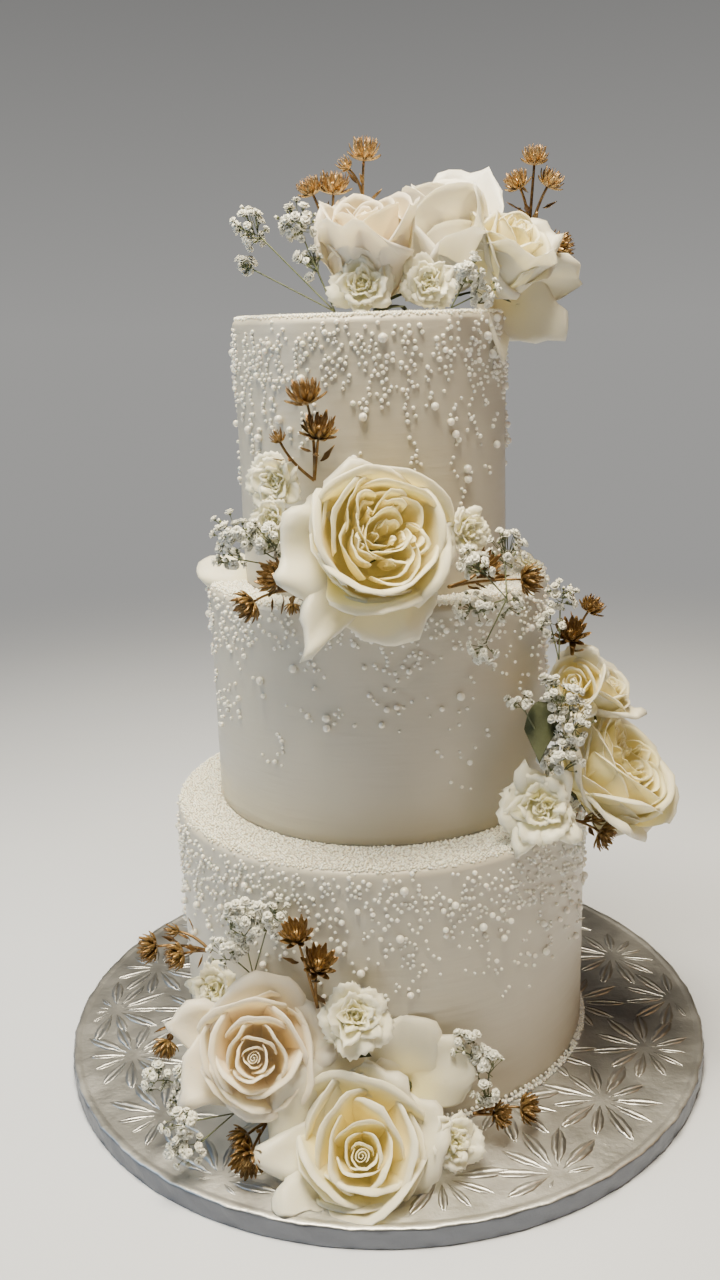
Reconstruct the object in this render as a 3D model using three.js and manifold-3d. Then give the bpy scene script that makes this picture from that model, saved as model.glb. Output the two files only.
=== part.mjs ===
// A three-tier wedding cake, built together with its foil-covered drum board.
// Millimetres, +Z up. The origin is the centre of the board's underside, and the front faces -Y.
// Each tier is solid cake under smooth icing, with sugar pearls fused to its wall. Fresh roses, small
// ruffled flowers, baby's breath and gilded seed heads dress the front and the right-hand side.
import * as THREE from "three";
import { mergeVertices } from "three/addons/utils/BufferGeometryUtils.js";
import Module from "manifold-3d";

const wasm = await Module();
wasm.setup();

// ---- Driving dimensions -------------------------------------------------------------------------
const GAP = 0.3; // clear space between pieces that rest on or lean against each other

const BOARD = { diameter: 406.4, height: 12, edge: 1.5, segments: 40 };
const TIER_SEGMENTS = 40;
const RIM_RADIUS = 4; // rounding of each tier's top edge
const BORDER = { reach: 2.2, height: 3 }; // bead border round the foot of the lowest tier

// Tiers from the board up: axis position, diameter, height, and the pearls big enough to be solids
const TIERS = [
  { name: "tier_bottom", x: 0, y: 4, diameter: 254, height: 155, pearls: 14, band: 82, border: true },
  { name: "tier_middle", x: 1.5, y: 11, diameter: 204, height: 135, pearls: 12, band: 90 },
  { name: "tier_top", x: 0.5, y: 6, diameter: 156, height: 150, pearls: 13, band: 92 },
];
// Pearls: largest and smallest radius, share of the diameter sunk in the icing, first drop below the
// rim, spread over the tries that are made for each pearl, and how fast they thin out downwards
const PEARL = { largest: 2.7, smallest: 2.1, sunk: 0.35, start: 3, tries: 2, spread: 1.4, thinning: 1.5 };

// A petal leaves its root at rootAngle from the flower's axis, turns to its lean over the first half of
// its length, and curls again from curlFrom on. It is rootWidth of its full width at the root.
const PETAL = {
  thickness: 1.3, rootRadius: 3, rootAngle: 80, rootWidth: 0.3, rounding: 0.42, power: 2.6,
  leanUntil: 0.5, curlFrom: 0.6, widening: 1.25, fullness: 0.8,
};
const PETAL_ROWS = 3;
const PETAL_COLUMNS = [-1, -0.42, 0.42, 1];
const MIDDLE_LINE_STEPS = 24;
// A rose's guard petals: stations along the under face and back along the upper face, the furthest that
// a petal's edge goes across it, and the share of the space between neighbours that it may fill
const GUARD = { under: [0.45, 0.8, 1], upper: [1, 0.8, 0.5], edge: 0.9, share: 0.46, widestAt: 0.8 };
// The cup's side where it shows between guard petals, as shares of the flower's radius and depth
const CUP_SIDE = [[0.6, 0.06], [0.86, 0.3], [0.9, 0.42], [0.94, 0.5], [0.94, 0.52], [0.95, 0.54]];
// Whorls of a rose's cup as shares of its radius and depth, from the rim's outside to the heart
const WHORLS = [[0.97, 0.86], [0.9, 1], [0.7, 0.84], [0.58, 0.96], [0.36, 0.8]];
const HEART_HEIGHT = 0.88;
const WHORL_SWELL = { amount: 0.06, lobes: 3 };
const WIDEST_SECTOR = 95; // degrees between guard petals before the cup shows between them
// A ruffled flower's ball: segments round it and from face to back, and how its edge waves
const RUFFLE = { around: 10, rings: 5, height: 0.1, waves: 5 };
const LEAF_THICKNESS = 1.0;
const STEM = { radius: 1.0, steps: 2, bend: 0.45, sides: 3 };
const TWIG = { radius: 0.6, steps: 1 };
// A seed head's section as shares of its radius and height, from its foot over its crown to its middle
const SEED_HEAD = { section: [[0, 0], [0.75, 0.3], [1, 1], [0.45, 0.72], [0, 0.66]], sides: 6 };
// A cluster of baby's breath: its core's size, depth and height as shares of the spread, how much the
// width and height vary, and the radius of the floret fused on it and how far out that sits
const CLUSTER = { core: 0.62, depth: 0.7, height: 0.8, wider: 0.2, taller: 0.3, floret: 2.6, reach: 0.6 };

// Roses. `at` is where the petals spring from and `facing` points out of the flower. A guard petal is
// [clock angle seen from the front, length, half width, lean from the axis, curl of its lip, hug].
// Hug is how closely it wraps round the flower: 1 follows the cup, and 0 is flat.
const ROSES = {
  rose_middle: {
    at: [-4, -80, 331], facing: [0.28, -0.86, 0.42], radius: 33, depth: 42,
    petals: [[275, 50, 34, 66, 14, 0.6], [222, 62, 21, 74, 6, 0.5], [172, 50, 32, 70, 8, 0.6],
      [0, 51, 36, 36, 24, 0.8], [88, 48, 28, 48, 22, 0.8]],
  },
  rose_base_blush: {
    at: [-72, -119, 60], facing: [0.08, -0.86, 0.5], radius: 28, depth: 42,
    petals: [[292, 50, 24, 60, 14, 0.6], [255, 48, 24, 56, 14, 0.6], [15, 48, 34, 34, 24, 0.8],
      [82, 49, 30, 34, 22, 0.8], [178, 42, 30, 30, 20, 0.8]],
  },
  rose_base_cream: {
    at: [-15, -152, 20], facing: [0.03, -0.74, 0.67], radius: 31, depth: 37,
    petals: [[268, 50, 26, 62, 6, 0.5], [232, 54, 22, 58, 12, 0.6], [318, 60, 32, 50, 16, 0.6],
      [8, 49, 34, 34, 24, 0.8], [86, 49, 30, 44, 20, 0.8]],
  },
  rose_side_large: {
    at: [122, -31, 171], facing: [0.66, -0.32, 0.66], radius: 33, depth: 44,
    petals: [[158, 44, 28, 58, 10, 0.6], [236, 54, 30, 44, 18, 0.8], [312, 56, 32, 40, 20, 0.8],
      [72, 54, 32, 36, 22, 0.8]],
  },
  rose_top_blush: {
    at: [4, -26, 460], facing: [-0.1, -0.32, 0.94], radius: 21, depth: 46,
    petals: [[190, 58, 26, 4, 16, 1], [310, 58, 26, 6, 16, 1], [70, 58, 26, 4, 16, 1]],
  },
  rose_top_white: {
    at: [44, 3, 462], facing: [-0.06, -0.12, 0.99], radius: 24, depth: 58,
    petals: [[212, 64, 28, 14, 34, 0.9], [136, 64, 28, 32, 26, 0.7], [0, 76, 30, 6, 20, 1]],
  },
  rose_top_side: {
    at: [66, -14, 465], facing: [0.45, -0.45, 0.77], radius: 20, depth: 42,
    petals: [[205, 50, 24, 8, 20, 1], [310, 54, 24, 10, 22, 1], [92, 48, 24, 8, 20, 1]],
  },
  rose_top_drooping: {
    at: [70, -14, 466], facing: [0.7, -0.68, -0.22], radius: 14, depth: 22,
    petals: [[76, 52, 24, 34, 16, 0.6], [130, 48, 25, 26, 14, 0.6], [200, 42, 20, 38, 6, 0.5]],
  },
  rose_base_back: {
    at: [9, -135, 46], facing: [0.2, -0.8, 0.55], radius: 13, depth: 14,
    petals: [[14, 36, 24, 60, 12, 0.6], [70, 38, 22, 60, 12, 0.6], [290, 28, 16, 50, 10, 0.7]],
  },
  rose_side_small: {
    at: [116, -44, 240], facing: [-0.35, -0.75, 0.56], radius: 14, depth: 22,
    petals: [[10, 30, 15, 26, 24, 0.9], [190, 28, 15, 30, 20, 0.9]],
  },
  rose_side_back: {
    at: [126, -27, 224], facing: [0.5, -0.3, 0.8], radius: 15, depth: 26,
    petals: [[60, 34, 17, 28, 24, 0.9], [190, 32, 17, 30, 20, 0.9]],
  },
};

// Small ruffled flowers: middle, direction faced, radius across, and depth as a share of the radius
const RUFFLED_FLOWERS = {
  ruffled_top_left: { at: [-2, -54, 467], facing: [-0.1, -0.9, 0.4], radius: 16, flat: 0.7 },
  ruffled_top_right: { at: [32, -50, 467], facing: [0.1, -0.95, 0.3], radius: 13, flat: 0.7 },
  ruffled_middle_upper: { at: [-51, -74, 369], facing: [-0.4, -0.9, 0.2], radius: 14, flat: 0.7 },
  ruffled_middle_lower: { at: [-53, -80, 350], facing: [-0.5, -0.85, 0.1], radius: 11, flat: 0.8 },
  ruffled_middle_right: { at: [49, -80, 341], facing: [0.5, -0.85, 0.2], radius: 12, flat: 0.8 },
  ruffled_ledge: { at: [91, -6, 308], facing: [0.5, -0.2, 0.85], radius: 9, flat: 0.6 },
  ruffled_side: { at: [88, -90, 188], facing: [-0.05, -0.9, 0.4], radius: 22, flat: 0.6 },
  ruffled_base_upper: { at: [-17, -140, 92], facing: [0.15, -0.85, 0.5], radius: 17, flat: 0.7 },
  ruffled_base_right: { at: [34, -162, 31], facing: [0.5, -0.7, 0.5], radius: 14, flat: 0.7 },
  ruffled_base_left: { at: [-96, -106, 90], facing: [-0.3, -0.8, 0.5], radius: 14, flat: 0.7 },
};

// Gilded sprigs: a root, and seed heads as [position, direction faced, radius, height]
const SPRIGS = {
  gilded_top_left: {
    root: [-20, -8, 486],
    heads: [[[-28, -8, 516], [-0.4, -0.2, 0.9], 7, 11], [[-17, -8, 516], [0.1, -0.3, 0.95], 8.5, 13]],
  },
  gilded_top_centre: {
    root: [-1, 6, 500],
    heads: [[[0, 4, 534], [0.1, -0.2, 1], 8, 14], [[-8, 4, 530], [-0.7, -0.2, 0.7], 4, 9]],
  },
  gilded_top_right: {
    root: [92, 12, 490],
    heads: [[[95, 12, 530], [0.05, -0.2, 1], 7, 12], [[87, 10, 518], [-0.5, -0.3, 0.9], 7, 11],
      [[102, 10, 518], [0.5, -0.2, 0.9], 7, 11]],
  },
  gilded_top_side: {
    root: [97, 0, 482],
    heads: [[[106, 0, 485], [0.9, -0.4, 0.15], 7.5, 11]],
  },
  gilded_middle_upper: {
    root: [-30, -82, 370],
    heads: [[[-32, -82, 409], [-0.2, -0.2, 0.95], 9, 14], [[-27, -84, 392], [0.15, -0.4, 0.9], 8.5, 14],
      [[-47, -79, 390], [-0.35, -0.2, 0.9], 4, 8]],
  },
  gilded_middle_left: {
    root: [-40, -97, 315],
    heads: [[[-50, -93, 321], [-0.7, -0.6, 0.35], 8.5, 12], [[-64, -88, 308], [-0.8, -0.4, -0.45], 8.5, 12],
      [[-43, -99, 309], [0, -0.3, -0.95], 4, 7]],
  },
  gilded_middle_right: {
    root: [38, -97, 315],
    heads: [[[56, -88, 322], [0.5, -0.5, 0.7], 7.5, 11], [[79, -70, 312], [0.9, -0.4, 0.05], 8, 12]],
  },
  gilded_side_upper: {
    root: [110, -52, 264],
    heads: [[[121, -38, 285], [0.5, -0.2, 0.85], 7, 11], [[110, -47, 272], [-0.05, -0.5, 0.85], 9, 13]],
  },
  gilded_side_lower: {
    root: [108, -68, 171],
    heads: [[[126, -62, 160], [0.75, -0.55, -0.35], 8.5, 10], [[122, -60, 166], [0.9, -0.3, 0.3], 4, 8]],
  },
  gilded_base_left: {
    root: [-96, -112, 117],
    heads: [[[-128, -98, 113], [-0.9, -0.4, 0.1], 8, 12], [[-112, -103, 111], [-0.95, -0.3, -0.1], 7.5, 12],
      [[-115, -98, 122], [-0.95, 0.1, 0.2], 3.5, 10]],
  },
  gilded_base_upper: {
    root: [-37, -130, 92],
    heads: [[[-46, -130, 133], [-0.15, -0.3, 0.95], 8.5, 13], [[-36, -134, 118], [0.25, -0.4, 0.9], 9, 14]],
  },
  gilded_base_far_left: {
    root: [-114, -120, 79],
    heads: [[[-120, -125, 71], [-0.4, -0.5, -0.75], 6.5, 12]],
  },
  gilded_base_lower: {
    root: [-66, -144, 32],
    heads: [[[-76, -150, 29], [-0.75, -0.5, -0.35], 7.5, 12], [[-74, -164, 27], [-0.25, -0.95, -0.1], 9, 12]],
  },
  gilded_base_right: {
    root: [46, -140, 31],
    heads: [[[58, -137, 28], [0.8, -0.5, 0.3], 6.5, 10], [[73, -126, 24], [0.9, -0.3, 0.1], 8, 12]],
  },
};

// Baby's breath: a root, and clusters of florets as [position, spread]
const BREATH = {
  breath_top_left: {
    root: [-17, -56, 454],
    clusters: [[[-60, -44, 498], 11], [[-36, -44, 500], 11], [[-64, -44, 479], 6], [[-28, -48, 480], 9]],
  },
  breath_top_right: {
    root: [43, -60, 454],
    clusters: [[[53, -60, 472], 9], [[61, -56, 462], 8]],
  },
  breath_middle_left: {
    root: [-44, -92, 326],
    clusters: [[[-72, -86, 344], 13], [[-56, -88, 341], 10], [[-76, -84, 331], 8]],
  },
  breath_middle_right: {
    root: [68, -97, 308],
    clusters: [[[52, -98, 327], 10], [[68, -84, 332], 11], [[52, -98, 303], 11], [[70, -86, 302], 9],
      [[55, -98, 281], 7]],
  },
  breath_side_upper: {
    root: [101, -62, 264],
    clusters: [[[103, -52, 298], 9], [[97, -56, 283], 9]],
  },
  breath_side_column: {
    root: [98, -84, 206],
    clusters: [[[98, -82, 250], 12], [[104, -84, 234], 13], [[100, -86, 215], 12], [[77, -86, 247], 8]],
  },
  breath_base_upper: {
    root: [-72, -120, 106],
    clusters: [[[-77, -121, 140], 13], [[-61, -121, 142], 11], [[-86, -121, 122], 11]],
  },
  breath_base_left: {
    root: [-98, -140, 46],
    clusters: [[[-127, -133, 54], 9], [[-108, -136, 52], 10], [[-113, -137, 39], 9]],
  },
  breath_base_lower: {
    root: [-84, -142, 36],
    clusters: [[[-111, -160, 44], 9], [[-107, -162, 27], 11]],
  },
  breath_base_right: {
    root: [54, -136, 34],
    clusters: [[[43, -132, 69], 9], [[55, -133, 58], 9], [[53, -138, 43], 8]],
  },
};

// Loose petal and leaves: [position, facing, clock angle, length, half width, lean, curl, hug]
const LOOSE_PETALS = {
  petal_ledge: { at: [-70, -8, 305], facing: [-0.1, -0.75, 0.65], petal: [276, 32, 15, 80, 10, 0.3] },
};
const LEAVES = {
  leaf_top: { at: [8, -34, 457], facing: [0, -0.3, 0.95], petal: [160, 24, 9, 74, 0, 0.2] },
  leaf_side: { at: [90, -78, 248], facing: [0, -0.95, 0.3], petal: [186, 30, 8, 82, -10, 0.3] },
  leaf_base: { at: [-34, -134, 78], facing: [0.2, -0.9, 0.4], petal: [120, 22, 8, 72, 0, 0.3] },
};

// ---- Materials ----------------------------------------------------------------------------------
function material(color, roughness, metalness = 0) {
  return new THREE.MeshStandardMaterial({ color, roughness, metalness });
}

const MATERIALS = {
  foil: () => material(0xb9bcc0, 0.28, 1),
  icing: () => material(0xe9e5dc, 0.42),
  petal: () => material(0xeee6cf, 0.55),
  blushPetal: () => material(0xe8d3b6, 0.55),
  ruffledPetal: () => material(0xe9eadb, 0.6),
  gilded: () => material(0x8a5a2c, 0.4, 0.6),
  breath: () => material(0xe6e9e2, 0.7),
  leaf: () => material(0x4a4a2c, 0.6),
};

// ---- Solids -------------------------------------------------------------------------------------
// A closed geometry as a solid: shared corners merged, and triangles with no area left out
function toSolid(geometry) {
  const bare = geometry.clone();
  bare.deleteAttribute("normal");
  bare.deleteAttribute("uv");
  const merged = mergeVertices(bare, 1e-4);
  const corners = merged.index.array;
  const triangles = [];
  for (let i = 0; i < corners.length; i += 3) {
    const [a, b, c] = [corners[i], corners[i + 1], corners[i + 2]];
    if (a !== b && b !== c && c !== a) triangles.push(a, b, c);
  }
  const vertProperties = new Float32Array(merged.attributes.position.array);
  const triVerts = new Uint32Array(triangles);
  return new wasm.Manifold(new wasm.Mesh({ numProp: 3, vertProperties, triVerts }));
}

function toGeometry(solid) {
  const { vertProperties, triVerts } = solid.getMesh();
  const geometry = new THREE.BufferGeometry();
  geometry.setAttribute("position", new THREE.BufferAttribute(new Float32Array(vertProperties), 3));
  geometry.setIndex(new THREE.BufferAttribute(new Uint32Array(triVerts), 1));
  geometry.computeVertexNormals();
  return geometry;
}

function fuse(solids) {
  return solids.reduce((whole, solid) => whole.add(solid));
}

// The largest body alone: sealed hollows are filled, and scraps cut loose are dropped
function largestBody(solid) {
  return solid.decompose().reduce((best, body) => (body.volume() > best.volume() ? body : best));
}

function boxesOverlap(one, other) {
  const [a, b] = [one.boundingBox(), other.boundingBox()];
  return [0, 1, 2].every((axis) => a.min[axis] < b.max[axis] && b.min[axis] < a.max[axis]);
}

// Axes of a piece: z out of its face, y towards what is up in that face, x to a viewer's right
function poseOf(at, facing) {
  const z = new THREE.Vector3(...facing).normalize();
  const y = new THREE.Vector3(0, 0, 1).addScaledVector(z, -z.z).normalize();
  const x = new THREE.Vector3().crossVectors(y, z);
  return new THREE.Matrix4().makeBasis(x, y, z).setPosition(...at);
}

function smoothStep(from, to, value) {
  return THREE.MathUtils.smoothstep(value, from, to);
}

// ---- Petals -------------------------------------------------------------------------------------
// A petal's middle line: how far out and how far along the axis it has come at share v of its length
function middleLine(length, lean, curl, v) {
  const step = (length * v) / MIDDLE_LINE_STEPS;
  let out = 0;
  let along = 0;
  for (let i = 0; i < MIDDLE_LINE_STEPS; i += 1) {
    const t = ((i + 0.5) / MIDDLE_LINE_STEPS) * v;
    const leant = (lean - PETAL.rootAngle) * smoothStep(0, PETAL.leanUntil, t);
    const curled = curl * smoothStep(PETAL.curlFrom, 1, t);
    const angle = THREE.MathUtils.degToRad(PETAL.rootAngle + leant + curled);
    out += Math.sin(angle) * step;
    along += Math.cos(angle) * step;
  }
  return { out, along };
}

// The petal's surface: u runs across it from -1 to 1, and v from its root at 0 to its lip at 1
function petalPoint([turn, length, halfWidth, lean, curl, hug], u, v) {
  const { out, along } = middleLine(length, lean, curl, v);
  const reach = 1 - PETAL.rounding * Math.abs(u) ** PETAL.power;
  const r = PETAL.rootRadius + reach * out;
  const swell = Math.sin(0.5 * Math.PI * Math.min(1, PETAL.widening * v)) ** PETAL.fullness;
  const half = halfWidth * (PETAL.rootWidth + (1 - PETAL.rootWidth) * swell);
  const bend = r / hug;
  const angle = (u * half) / bend;
  const radial = r - bend + bend * Math.cos(angle);
  const sideways = bend * Math.sin(angle);
  const clock = THREE.MathUtils.degToRad(turn);
  return new THREE.Vector3(
    radial * Math.sin(clock) + sideways * Math.cos(clock),
    radial * Math.cos(clock) - sideways * Math.sin(clock),
    reach * along,
  );
}

function petalNormal(petal, u, v) {
  const step = 0.01;
  const across = petalPoint(petal, u + step, v).sub(petalPoint(petal, u - step, v));
  const outward = petalPoint(petal, u, v + step).sub(petalPoint(petal, u, Math.max(v - step, 0)));
  return across.cross(outward).normalize();
}

// A petal or leaf as a thin solid, both faces split into triangles alike
function petalSolid(petal, thickness) {
  const columns = PETAL_COLUMNS.length;
  const rows = PETAL_ROWS + 1;
  const positions = [];
  for (const side of [0.5, -0.5]) {
    for (let row = 0; row < rows; row += 1) {
      for (const u of PETAL_COLUMNS) {
        const v = row / PETAL_ROWS;
        const point = petalPoint(petal, u, v).addScaledVector(petalNormal(petal, u, v), side * thickness);
        positions.push(point.x, point.y, point.z);
      }
    }
  }
  const back = rows * columns;
  const index = [];
  const quad = (a, b, c, d) => index.push(a, b, c, a, c, d);
  for (let row = 0; row < PETAL_ROWS; row += 1) {
    for (let column = 0; column < columns - 1; column += 1) {
      const a = row * columns + column;
      const [b, c, d] = [a + 1, a + columns + 1, a + columns];
      index.push(a, b, c, a, c, d);
      index.push(back + a, back + c, back + b, back + a, back + d, back + c);
    }
  }
  for (let column = 0; column < columns - 1; column += 1) {
    const top = PETAL_ROWS * columns + column;
    quad(column + 1, column, back + column, back + column + 1);
    quad(top, top + 1, back + top + 1, back + top);
  }
  for (let row = 0; row < PETAL_ROWS; row += 1) {
    const left = row * columns;
    const right = left + columns - 1;
    quad(left, left + columns, back + left + columns, back + left);
    quad(right + columns, right, back + right, back + right + columns);
  }
  const geometry = new THREE.BufferGeometry();
  geometry.setAttribute("position", new THREE.Float32BufferAttribute(positions, 3));
  geometry.setIndex(index);
  return toSolid(geometry);
}

function grownPetal([turn, length, halfWidth, ...shape], grow) {
  return [turn, length + grow, halfWidth + grow, ...shape];
}

// ---- Flowers. Each maker takes `grow`, the clear space to add all round ----------------------------
// One guard petal of a rose as columns of points across it, kept inside its own sector so that it laps
// its neighbours without crossing them. A column runs from the petal's under face over its lip.
function guardColumns(petal, sector, grow) {
  const [side, middle] = [1, 0].map((u) => clockOf(petalPoint(petal, u, GUARD.widestAt)));
  const spread = Math.abs(side - middle);
  const edge = Math.min(GUARD.edge, sector / Math.min(spread, 2 * Math.PI - spread));
  const half = PETAL.thickness / 2 + grow;
  return [-edge, 0, edge].map((u) => {
    const face = (v, away) => petalPoint(petal, u, v).addScaledVector(petalNormal(petal, u, v), away);
    return [...GUARD.under.map((v) => face(v, -half)), ...GUARD.upper.map((v) => face(v, half))];
  });
}

function clockOf(point) {
  return Math.atan2(point.x, point.y);
}

// Where two guard petals stand wide apart, the flower's own cup shows between them
function cupColumn(clock, radius, depth) {
  return CUP_SIDE.map(([r, z]) => {
    return new THREE.Vector3(r * radius * Math.sin(clock), r * radius * Math.cos(clock), z * depth);
  });
}

// A rose: guard petals round a cup whose top steps down in whorls, all one closed skin
function roseSolid({ at, facing, radius, depth, petals }, grow) {
  const sorted = petals.map((petal) => grownPetal(petal, grow)).sort((a, b) => a[0] - b[0]);
  const rounds = sorted.flatMap((petal, i) => {
    const after = sorted[(i + 1) % sorted.length];
    const before = sorted[(i + sorted.length - 1) % sorted.length];
    const gapAfter = (after[0] - petal[0] + 360) % 360;
    const gapBefore = (petal[0] - before[0] + 360) % 360;
    const sector = THREE.MathUtils.degToRad(GUARD.share * Math.min(gapAfter, gapBefore));
    const clock = THREE.MathUtils.degToRad(petal[0] + gapAfter / 2);
    const open = gapAfter > WIDEST_SECTOR ? [cupColumn(clock, radius + grow, depth)] : [];
    return [...guardColumns(petal, sector, grow), ...open];
  });
  const columns = rounds.map((column, i) => {
    const clock = clockOf(column[1]);
    const swell = 1 + WHORL_SWELL.amount * Math.cos(WHORL_SWELL.lobes * clock);
    const whorls = WHORLS.map(([r, z]) => {
      const out = (r * radius + grow) * (i % 2 ? swell : 1);
      return new THREE.Vector3(out * Math.sin(clock), out * Math.cos(clock), z * depth + grow);
    });
    return [...column, ...whorls];
  });
  const foot = new THREE.Vector3(0, 0, -grow);
  const heart = new THREE.Vector3(0, 0, HEART_HEIGHT * depth + grow);
  return toSolid(skinOfColumns(columns, foot, heart)).transform(poseOf(at, facing).elements);
}

// A closed skin over columns of points that go once round, shut by one point at each end
function skinOfColumns(columns, foot, top) {
  const rows = columns[0].length;
  const points = [...columns.flat(), foot, top];
  const footIndex = points.length - 2;
  const index = [];
  columns.forEach((column, i) => {
    const here = i * rows;
    const next = ((i + 1) % columns.length) * rows;
    index.push(footIndex, here, next, footIndex + 1, next + rows - 1, here + rows - 1);
    for (let row = 0; row < rows - 1; row += 1) {
      index.push(here + row, here + row + 1, next + row + 1, here + row, next + row + 1, next + row);
    }
  });
  return new THREE.BufferGeometry().setFromPoints(points).setIndex(index);
}

// A ruffled flower: a flattened ball whose edge waves in and out
function ruffledSolid({ at, facing, radius, flat }, grow) {
  const ball = new THREE.SphereGeometry(radius + grow, RUFFLE.around, RUFFLE.rings);
  const position = ball.attributes.position;
  for (let i = 0; i < position.count; i += 1) {
    const point = new THREE.Vector3().fromBufferAttribute(position, i);
    const around = Math.atan2(point.x, point.z);
    const edge = 1 - (point.y / (radius + grow)) ** 2;
    const ruffle = 1 + RUFFLE.height * Math.sin(RUFFLE.waves * around + point.y) * edge;
    position.setXYZ(i, point.x * ruffle, point.y * flat, point.z * ruffle);
  }
  return toSolid(ball.rotateX(Math.PI / 2)).transform(poseOf(at, facing).elements);
}

function looseSolid({ at, facing, petal }, thickness, grow) {
  return petalSolid(grownPetal(petal, grow), thickness + 2 * grow).transform(poseOf(at, facing).elements);
}

// A stem bends from its root to the foot of what it carries, and comes up into it along `facing`
function stemSolid(root, foot, facing, { radius, steps }, grow) {
  const [start, end] = [new THREE.Vector3(...root), new THREE.Vector3(...foot)];
  const heading = new THREE.Vector3(...facing).normalize();
  const length = start.distanceTo(end);
  const bend = end.clone().addScaledVector(heading, -STEM.bend * length);
  end.addScaledVector(heading, radius + grow);
  const corners = Array.from({ length: STEM.sides }, (_, corner) => {
    const angle = (corner * 2 * Math.PI) / STEM.sides;
    return new THREE.Vector2(Math.cos(angle), Math.sin(angle)).multiplyScalar(radius + grow);
  });
  const extrudePath = new THREE.QuadraticBezierCurve3(start, bend, end);
  return toSolid(new THREE.ExtrudeGeometry(new THREE.Shape(corners), { steps, extrudePath }));
}

// A seed head: a small cup whose rim stands up in a crown
function seedHead([at, facing, radius, height], grow) {
  const profile = SEED_HEAD.section.map(([r, z]) => {
    return new THREE.Vector2(r ? r * radius + grow : 0, z * height + (z > 0.5 ? grow : -grow));
  });
  const cup = new THREE.LatheGeometry(profile, SEED_HEAD.sides).rotateX(Math.PI / 2);
  return toSolid(cup).transform(poseOf(at, facing).elements);
}

function sprigSolid({ root, heads }, grow) {
  return fuse(heads.flatMap((head) => [
    seedHead(head, grow),
    stemSolid(root, head[0], head[1], STEM, grow),
  ]));
}

// Baby's breath: an uneven core for each cluster, florets fused on it, and a stem up from the root
function breathSolid({ root, clusters }, grow, random) {
  return fuse(clusters.flatMap(([at, spread]) => {
    const middle = new THREE.Vector3(...at);
    const core = new THREE.IcosahedronGeometry(CLUSTER.core * spread + grow);
    const [width, height] = [1 + CLUSTER.wider * random(), CLUSTER.height + CLUSTER.taller * random()];
    core.scale(width, CLUSTER.depth, height).rotateY(random() * Math.PI);
    const start = random() * 2 * Math.PI;
    const reach = CLUSTER.reach * spread;
    const floret = new THREE.OctahedronGeometry(CLUSTER.floret + grow);
    floret.translate(at[0] + reach * Math.cos(start), at[1] - 1, at[2] + reach * Math.sin(start));
    const heading = middle.clone().sub(new THREE.Vector3(...root)).toArray();
    return [
      toSolid(core.translate(...at)),
      toSolid(floret),
      stemSolid(root, at, heading, TWIG, grow),
    ];
  }));
}

// A repeatable draw between 0 and 1, so that every build gives the same flowers
function seededRandom(seed) {
  let state = seed;
  return () => {
    state = (state * 1664525 + 1013904223) % 4294967296;
    return state / 4294967296;
  };
}

// ---- Board and tiers ----------------------------------------------------------------------------
// A disc with softened edges; its lower face stays flat
function boardSolid(grow) {
  const { diameter, height, edge, segments } = BOARD;
  const radius = diameter / 2 + grow;
  const top = height + grow;
  const profile = [[0, 0], [radius - edge, 0], [radius, edge], [radius, top - edge], [radius - edge, top],
    [0, top]];
  const points = profile.map(([r, z]) => new THREE.Vector2(r, z));
  return toSolid(new THREE.LatheGeometry(points, segments).rotateX(Math.PI / 2));
}

function tierSolid({ x, y, diameter, height, border }, floor, grow) {
  const radius = diameter / 2 + grow;
  const top = floor + height + grow;
  const bottom = floor + GAP - grow;
  const beads = [[radius + BORDER.reach, bottom + BORDER.height / 2], [radius, bottom + BORDER.height]];
  const foot = [[radius, bottom], ...(border ? beads : [])];
  const rim = [0, 1, 2].map((step) => {
    const angle = (step * Math.PI) / 4;
    return [radius - RIM_RADIUS * (1 - Math.cos(angle)), top - RIM_RADIUS * (1 - Math.sin(angle))];
  });
  const points = [[0, bottom], ...foot, ...rim, [0, top]].map(([r, z]) => new THREE.Vector2(r, z));
  return toSolid(new THREE.LatheGeometry(points, TIER_SEGMENTS).rotateX(Math.PI / 2)).translate(x, y, 0);
}

// Pearls on a tier's wall, closest below the rim and thinning downwards, clear of what stands there
function pearlSolids({ x, y, diameter, pearls, band }, top, others, random) {
  const goldenAngle = Math.PI * (3 - Math.sqrt(5));
  const placed = [];
  for (let i = 0; i < pearls * PEARL.tries && placed.length < pearls; i += 1) {
    const radius = PEARL.smallest + (PEARL.largest - PEARL.smallest) * random();
    const share = (i + 0.5) / (pearls * PEARL.spread);
    const drop = RIM_RADIUS + PEARL.start + band * share ** PEARL.thinning;
    const around = i * goldenAngle;
    const reach = diameter / 2 + radius * (1 - 2 * PEARL.sunk);
    const centre = [x + reach * Math.cos(around), y + reach * Math.sin(around), top - drop];
    const ball = (size) => toSolid(new THREE.IcosahedronGeometry(size).translate(...centre));
    const space = ball(radius + 2 * GAP);
    const blocked = others.some((other) => boxesOverlap(space, other) && !space.intersect(other).isEmpty());
    if (!blocked) placed.push(ball(radius));
  }
  return placed;
}

// ---- The whole cake -----------------------------------------------------------------------------
const group = new THREE.Group();

function addMesh(name, solid, makeMaterial) {
  const mesh = new THREE.Mesh(toGeometry(solid), makeMaterial());
  mesh.name = name;
  group.add(mesh);
}

const floors = TIERS.map((tier, i) => {
  return TIERS.slice(0, i).reduce((height, below) => height + below.height, BOARD.height);
});
const clearances = [boardSolid(GAP), ...TIERS.map((tier, i) => tierSolid(tier, floors[i], GAP))];
const dressing = [];

// A piece is cut back from the cake and from the pieces already placed, then takes its own place
function place(name, solid, clearance, makeMaterial) {
  const near = clearances.filter((other) => boxesOverlap(solid, other));
  const piece = largestBody(near.reduce((rest, other) => rest.subtract(other), solid));
  clearances.push(clearance, piece);
  dressing.push(piece);
  addMesh(name, piece, makeMaterial);
}

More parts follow.
